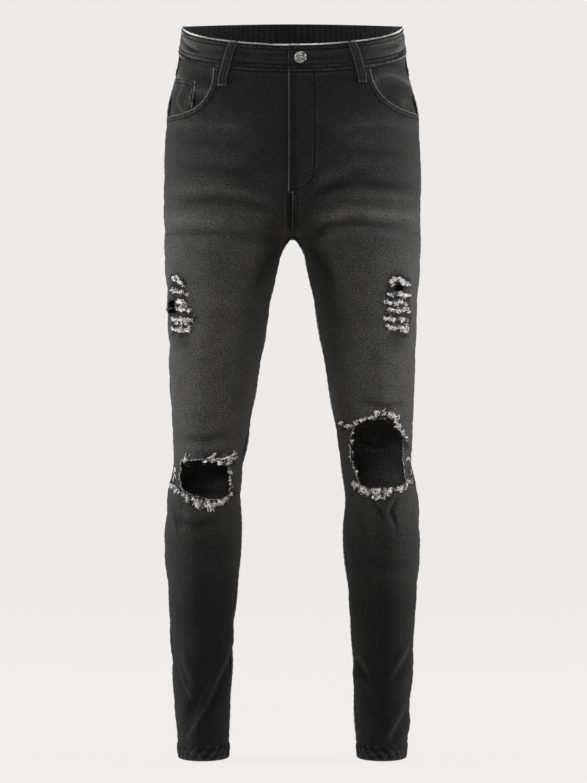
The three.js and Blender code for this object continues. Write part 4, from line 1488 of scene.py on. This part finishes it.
def stitches(points, out):
    """Splits a line on the cloth into stitches that come up and go down."""
    gaps = np.linalg.norm(np.diff(points, axis=0), axis=1)
    lengths = np.concatenate([[0], np.cumsum(gaps)])
    made = []
    for start in np.arange(0.4 * MM, lengths[-1] - STITCH_LENGTH, STITCH_PITCH):
        s = start + STITCH_LENGTH * STITCH_SHARES
        p, n = (np.stack([np.interp(s, lengths, rows[:, a]) for a in range(3)], axis=-1)
                for rows in (points, out))
        made.append(p + n * STITCH_RISE)
    return made


def sewn_line(way, x, z, lift, count):
    """Stitches along a line on the front or the back, through places in millimetres."""
    x, z = np.asarray(x, float) * MM, np.asarray(z, float) * MM
    s = np.linspace(0, len(x) - 1, count)
    k = np.arange(len(x))
    return stitches(*on_face(way, np.interp(s, k, x), np.interp(s, k, z), lift))


ROWS_IN = (2.0 * MM, 8.0 * MM)  # the two rows of a felled seam
POCKET_CORNERS = np.array([(26, -131), (32, -245), (82, -261.5), (132, -236.5), (138, -122.5)])
POCKET_MIDDLE, POCKET_HALF = np.array([82, -180]), 62
POCKET_TOP = np.array([(26, -131.5), (82, -127), (138, -122.5)])


def mouth_row(hand, gap):
    """A row of stitches round a pocket mouth."""
    ring = pocket_mouth(hand, gap)
    on_panel = (ring[:, 0] < along(STATIONS, 1, ring[:, 1]) - 0.5 * MM) & (ring[:, 1] < -0.052)
    ring = ring[on_panel]
    x, z = (ring - MOUTH_MIDDLE).T
    x, z = ring[np.argsort(np.arctan2(z, x) % (2 * np.pi))].T
    turn = turn_at(x, z)
    fits = z < waist_seam(turn) - 1.5 * MM
    return stitches(*cloth(hand, turn[fits], z[fits], 0.7 * MM))


def sewn_side(hand):
    """All the rows on one half of the garment but those of the fly and the waistband."""
    made = []
    for gap in (2.0 * MM, 7.8 * MM):
        made += mouth_row(hand, gap)
    # Back pockets: two rows round, two across the top.
    for inset in (0.0, 6.0):
        run = POCKET_MIDDLE + (POCKET_CORNERS - POCKET_MIDDLE) * (1 - inset / POCKET_HALF)
        run[[0, -1], 1] = POCKET_CORNERS[[0, -1], 1]
        made += sewn_line(BACK, run[:, 0] * hand, run[:, 1], 1.9 * MM, 300)
    for drop in (11, 14):
        made += sewn_line(BACK, POCKET_TOP[:, 0] * hand, POCKET_TOP[:, 1] - drop, 1.6 * MM, 120)
    # Yoke seam.
    turn = np.linspace(0.505, 0.998, 140)
    for up in ROWS_IN:
        made += stitches(*cloth(hand, turn, yoke_seam(turn) + up, 0.8 * MM))
    # The whole inseam, and the side seams near the pockets, on the back half.
    for gap in ROWS_IN:
        z = np.linspace(-0.30, -0.998, 420)
        made += stitches(*cloth(hand, turn_from_arc(arc(np.ones_like(z), z) - gap, z), z))
        z = np.linspace(-0.075, -0.235, 100)
        made += stitches(*cloth(hand, turn_from_arc(arc(np.full_like(z, 0.5), z) + gap, z), z))
    # Seat seam on the left half only.
    z = np.linspace(-0.098, -0.285, 110)
    for gap in ROWS_IN if hand == LEFT else ():
        made += stitches(*cloth(hand, 1 - turn_at(np.full_like(z, gap), z), z))
    # Hems.
    turn = np.linspace(0, 1, 200)
    return made + stitches(*cloth(hand, turn, np.full_like(turn, -1.0025), 1.0 * MM))


def sewn_fly():
    """The J of two rows, and a row beside the lapped edge."""
    made = []
    for inset in (0.0, 6.0):
        wide = 34.5 - inset
        xs, zs = [wide] * 8, list(np.linspace(-75, -200, 8))
        for degrees in np.linspace(0, -90, 12)[1:]:
            angle = math.radians(degrees)
            xs.append(wide * math.cos(angle) * 0.92 + wide * 0.08 * (degrees > -60))
            zs.append(-206 + (31.5 - inset * 0.8) * math.sin(angle))
        made += sewn_line(FRONT, xs, zs, 0.35 * MM, 300)
    return made + sewn_line(FRONT, [-2.9, -2.9], [-74, -236], 2.0 * MM, 120)


def sewn_fork():
    """The two rows of the seam below the fly."""
    left, right = (sewn_line(FRONT, [x, x + 0.8], [-240, -297], 0.5 * MM, 60) for x in (-4.6, 2.2))
    return left + right


def sewn_band():
    """Rows along the waistband: two near its lower edge and one near its top."""
    w = np.linspace(-LAP + 0.004, 2.0 - 0.001, 900)
    hand, turn = band_place(w)
    out = level_out(turn, waist_top(turn))
    out[:, 0] *= hand
    made = []
    for share in (0.13, 0.27, 0.90):
        points = band_point(w, np.full_like(w, BAND_OUT + 0.35 * MM), np.full_like(w, share))
        made += stitches(points, out)
    return made


def sewn_end():
    """The upright row at the over end of the waistband."""
    t = np.linspace(0.08, 0.92, 30)
    points = band_point(np.full_like(t, -LAP * 0.55), np.full_like(t, BAND_OUT + 0.6 * MM), t)
    return stitches(points, np.tile((0.0, -1.0, 0.0), (len(t), 1)))


for place, lines, radius in (
    ("waist", sewn_band(), 0.38), ("fly", sewn_fly() + sewn_end(), 0.36), ("fork", sewn_fork(), 0.34),
    ("left", sewn_side(LEFT), 0.34), ("right", sewn_side(RIGHT), 0.34),
):
    thread_piece(f"stitching_{place}", lines, radius * MM, THREAD)


# ---------------------------------------------------------------- frayed edges
fray = np.random.default_rng(5)
STRAND_SHARES = np.linspace(0, 1, 11)


def strands(starts, heading, length, clumps, size, curl, lift, spread=0.5):
    """Clumps of curled threads that start along a line, as distance from the middle and height in mm."""
    rng, t = fray, STRAND_SHARES
    starts = np.asarray(starts, float)
    made = []
    lengths = np.concatenate([[0], np.cumsum(np.linalg.norm(np.diff(starts, axis=0), axis=1))])
    for clump in range(clumps):
        s = lengths[-1] * (clump + rng.uniform(0.1, 0.9)) / clumps
        root = [np.interp(s, lengths, starts[:, a]) for a in (0, 1)]
        lean = math.radians(heading) + rng.normal(0, spread)
        grown = length * rng.uniform(0.6, 1.1)
        for _ in range(int(rng.integers(max(size - 2, 1), size + 3))):
            angle = lean + rng.normal(0, 0.28)
            reach = grown * rng.uniform(0.5, 1.1)
            turns = rng.uniform(0.6, 2.0) * 2 * np.pi * rng.choice((-1, 1))
            phase = rng.uniform(0, 2 * np.pi)
            bend = curl * rng.uniform(0.4, 1.2) * (0.35 + 0.65 * t)
            swing = bend * np.sin(turns * t + phase)
            swing -= swing[0]
            run = reach * t + 0.8 * bend * np.cos(turns * t + phase)
            run -= run[0]
            x = root[0] + rng.normal(0, 0.8) + run * np.cos(angle) - swing * np.sin(angle)
            z = root[1] + rng.normal(0, 0.6) + run * np.sin(angle) + swing * np.cos(angle)
            arched = 0.2 + np.abs(np.sin(np.pi * t * rng.uniform(0.5, 1.2) + 0.3))
            up = lift * arched * rng.uniform(0.4, 1.2)
            made.append((x * MM, z * MM, np.maximum(up, 0.15) * MM))
    return made


def lay_strands(hand, made):
    x, z, up = (np.concatenate([strand[k] for strand in made]) for k in range(3))
    x = np.minimum(x, along(STATIONS, 1, z) - 0.3 * MM)
    points, _ = cloth(hand, turn_at(x, z), z, up)
    return np.split(points, np.cumsum([len(strand[0]) for strand in made])[:-1])


def rim_lines(outline, passes, wander):
    """Loose yarns that follow the cut edge."""
    made = []
    for _ in range(passes):
        shift = fray.normal(0, wander, (len(outline), 2))
        shift = (shift + np.roll(shift, 1, axis=0) + np.roll(shift, 2, axis=0)) / 2
        line = outline + shift * MM
        line = np.concatenate([line, line[:1]])
        breaks = sorted(fray.choice(np.arange(4, len(line) - 4), 5, replace=False))
        for part in np.split(line, breaks):
            if len(part) > 3:
                made.append((part[:, 0], part[:, 1], np.abs(fray.normal(0.5, 0.3, len(part))) * MM))
    return made


light, grey, dark = ({LEFT: [], RIGHT: []} for _ in range(3))
for hand in (LEFT, RIGHT):
    knee, rip = HOLES[hand]
    light[hand] += rim_lines(knee, 1, 0.4)
    grey[hand] += rim_lines(knee, 2, 0.7)
    dark[hand] += rim_lines(knee, 3, 0.9) + rim_lines(rip, 2, 0.8)


def tuft(hand, starts, heading, length, clumps, size=5, curl=1.6, lift=2.0, spread=0.5, shadow=1.3):
    """Pale threads in clumps, with dark ones among them."""
    bright = math.ceil(clumps * 0.6)
    light[hand] += strands(starts, heading, length, bright, size, curl, lift, spread)
    grey[hand] += strands(starts, heading, length, clumps - bright + 1, size, curl, lift, spread)
    if shadow:
        under = max(int(clumps * shadow), 1)
        dark[hand] += strands(starts, heading, length, under, size, curl, lift * 0.7, spread + 0.4)


# Wearer's right knee: a heavy fringe below, long yarns above on the inner side, a spike outside.
# Headings are in degrees, 0 away from the middle and 90 up.
tuft(RIGHT, ((158, -642), (150, -647), (142, -653), (118, -661), (94, -658), (86, -648)),
     -80, 8, 26, 6, 1.6, 3)
tuft(RIGHT, ((142, -654), (126, -662), (106, -661)), -85, 12, 12, 7, 1.8, 3.0, 0.4)
tuft(RIGHT, ((166, -636), (156, -646)), -60, 7, 6, 5, 1.6, 2.5)
tuft(RIGHT, ((122, -606), (104, -605), (92, -610)), 110, 6, 10, 5, 1.6, 3.0, 0.9)
tuft(RIGHT, ((94, -612), (88, -606), (82, -598)), 140, 9, 7, 6, 1.6, 2.5, 0.5)
tuft(RIGHT, ((122, -601), (98, -603)), 160, 18, 4, 3, 1.0, 2.5, 0.2)
tuft(RIGHT, ((151, -608), (146, -606)), 125, 12, 2, 4, 0.8, 2.5, 0.25)
tuft(RIGHT, ((87, -642), (89, -616)), 200, 3, 10, 3, 0.9, 1.5, 0.9, 0)
tuft(RIGHT, ((162, -612), (162, -632)), -90, 14, 3, 3, 0.8, 1.0, 0.1)
# Wearer's left knee: fringed all round.
tuft(LEFT, ((62, -550), (74, -560), (84, -558), (92, -552)), 60, 5, 11, 5, 1.5, 2.5, 1.2)
tuft(LEFT, ((92, -552), (104, -546), (116, -544)), 80, 5, 8, 5, 1.5, 2.5, 1.0)
tuft(LEFT, ((112, -543), (126, -541), (138, -549)), 95, 9, 13, 6, 1.5, 3.0, 0.5)
tuft(LEFT, ((136, -550), (146, -562), (156, -578)), 30, 5, 12, 6, 1.5, 3.0, 1.2)
tuft(LEFT, ((85, -564), (83, -600), (91, -632)), 200, 2.5, 14, 3, 0.8, 1.2, 0.9, 0.4)
tuft(LEFT, ((84, -630), (90, -638), (104, -643)), -75, 8, 13, 6, 1.8, 3.0)
tuft(LEFT, ((98, -642), (116, -643), (134, -642)), -85, 11, 18, 6, 1.8, 3.5, 0.6)
tuft(LEFT, ((104, -650), (116, -653), (128, -650)), -85, 5, 8, 5, 1.8, 3.5, 0.9)
tuft(LEFT, ((132, -642), (146, -640), (157, -632)), -60, 9, 11, 5, 1.5, 2.5, 0.5)
tuft(LEFT, ((160, -596), (164, -634)), -85, 10, 5, 3, 1.2, 1.5, 0.3)
dark[LEFT] += strands(((150, -576), (154, -586)), -38, 20, 2, 6, 0.5, 3.0, 0.08)

# Thigh rips: rows of bared cross yarns. From and to, in mm, then the clumps of threads.
RIP_ROWS = {
    RIGHT: (((166, -353), (149, -363), 10), ((165, -370), (146, -377), 11), ((158, -384), (144, -390), 8),
            ((157, -395), (140, -399), 9), ((165, -408), (136, -411), 15), ((160, -417), (138, -419), 6),
            ((166, -424), (140, -428), 13)),
    LEFT: (((130, -364), (144, -355), 9), ((147, -355), (158, -364), 8), ((129, -378), (141, -379), 7),
           ((145, -378), (158, -379), 8), ((128, -389), (141, -389), 7), ((144, -388), (157, -390), 8),
           ((129, -399), (141, -398), 7), ((145, -399), (158, -398), 8), ((128, -409), (142, -410), 8),
           ((144, -409), (157, -411), 8), ((130, -419), (142, -421), 7), ((146, -420), (158, -422), 8),
           ((147, -427), (156, -428), 5)),
}
for hand, rows in RIP_ROWS.items():
    for start, end, clumps in rows:
        up = fray.choice((-90, 90))
        tuft(hand, (start, end), up, 5.5, int(clumps * 1.5), 3, 2.0, 2.6, 1.2, 0.4)
        for drop in (5, -5):
            below = [(x, z - drop) for x, z in (start, end)]
            dark[hand] += strands(below, 0, 7, max(int(clumps * 0.8), 2), 5, 1.2, 0.5)
dark[RIGHT] += strands(((164, -394), (164, -396)), 0, 12, 2, 5, 0.6, 2.0, 0.15)

for hand in (LEFT, RIGHT):
    for tone, made, radius, material in (
        ("pale", light, 0.3, FRAY), ("grey", grey, 0.26, FRAY_GREY), ("dark", dark, 0.32, FRAY_DARK),
    ):
        lines = lay_strands(hand, made[hand])
        thread_piece(f"fray_{tone}_{SIDE_NAME[hand]}", lines, radius * MM, material)

# ---------------------------------------------------------------- studio
PALE = (0.855, 0.823, 0.799, 1.0)
AMBIENT = 0.34  # of the backdrop's brightness, as it lights the garment
scene = bpy.context.scene
scene.view_settings.view_transform = "Standard"
world = bpy.data.worlds.new("studio")
scene.world = world
world.use_nodes = True
backdrop = world.node_tree.nodes["Background"]
backdrop.inputs[0].default_value = PALE
seen = world.node_tree.nodes.new("ShaderNodeLightPath").outputs["Is Camera Ray"]
glow = math_node(world.node_tree.nodes, world.node_tree.links, "MULTIPLY_ADD", seen, 1 - AMBIENT, AMBIENT)
world.node_tree.links.new(glow, backdrop.inputs[1])

FLOOR_LEVEL, FLOOR_RADIUS = -1.0215, 40.0
disc = bmesh.new()
bmesh.ops.create_circle(disc, cap_ends=True, segments=96, radius=FLOOR_RADIUS)
bmesh.ops.translate(disc, verts=disc.verts, vec=(0, 0, FLOOR_LEVEL))
floor = put("floor", bpy.data.meshes.new("floor"))
disc.to_mesh(floor.data)
disc.free()
floor_paint, _, _, shader = new_material("pale floor")
shader.inputs["Base Color"].default_value = (0.03, 0.03, 0.029, 1.0)
shader.inputs["Roughness"].default_value = 1.0
shader.inputs["Specular IOR Level"].default_value = 0.0
shader.inputs["Emission Color"].default_value = PALE
shader.inputs["Emission Strength"].default_value = 0.985
floor.data.materials.append(floor_paint)


LIGHTS_AIM = Vector((0, 0, -0.5))


def soft_box(name, place, size, power):
    """A large soft light, turned towards the garment."""
    lamp = bpy.data.lights.new(name, "AREA")
    lamp.shape = "RECTANGLE"
    lamp.size, lamp.size_y = size
    lamp.energy = power
    holder = put(name, lamp)
    holder.location = place
    holder.rotation_euler = (LIGHTS_AIM - Vector(place)).to_track_quat("-Z", "Y").to_euler()


soft_box("side_light_left", (2.9, 0.2, -0.2), (1.4, 2.4), 150)
soft_box("side_light_right", (-2.9, 0.2, -0.2), (1.4, 2.4), 150)
soft_box("front_light", (-1.2, -4.4, 0.9), (1.8, 1.8), 60)
soft_box("top_light", (0.3, -2.2, 2.4), (1.6, 1.2), 50)

CAMERA_ACROSS, CAMERA_AWAY, CAMERA_LEVEL = 0.0014, 4.5, -0.5095
VIEW_TALL = 1.0915  # height of what the camera takes in at the middle of the garment
SENSOR = 36.0
camera = put("camera", bpy.data.cameras.new("camera"))
camera.data.sensor_fit = "VERTICAL"
camera.data.sensor_height = SENSOR
camera.data.lens = SENSOR * CAMERA_AWAY / VIEW_TALL
camera.location = (CAMERA_ACROSS, -CAMERA_AWAY, CAMERA_LEVEL)
camera.rotation_euler = (math.pi / 2, 0, 0)
scene.camera = camera

# ---------------------------------------------------------------- how each sheet of cloth is held
# How each sheet is held, what it hangs from or lies on, and the pieces on it.
TOPS = ["front_left", "front_right", "yoke_left", "yoke_right"]
HELD = {
    "waistband": ("folded", TOPS, ["stitching_waist"]),
    "fly": ("laid", ["front_left"], ["stitching_fly", "stitching_fork"]),
    "coin_pocket": ("laid", ["pocket_facing_right"], []),
    "belt_loop_back_middle": ("laid", ["waistband", "yoke_left"], []),
}
for side in SIDE_NAME.values():
    frays = [f"fray_{tone}_{side}" for tone in ("pale", "grey", "dark")]
    HELD |= {
        f"front_{side}": ("hung", ["waistband"], [*frays, f"stitching_{side}"]),
        f"back_{side}": ("hung", [f"yoke_{side}"], []),
        f"yoke_{side}": ("hung", ["waistband"], []),
        f"pocket_facing_{side}": ("laid", [f"front_{side}"], []),
        f"back_pocket_{side}": ("laid", [f"back_{side}"], []),
        f"belt_loop_front_{side}": ("laid", ["waistband", f"front_{side}"], []),
        f"belt_loop_back_{side}": ("laid", ["waistband", f"yoke_{side}"], []),
        f"hem_{side}": ("folded", [f"front_{side}", f"back_{side}"], []),
    }
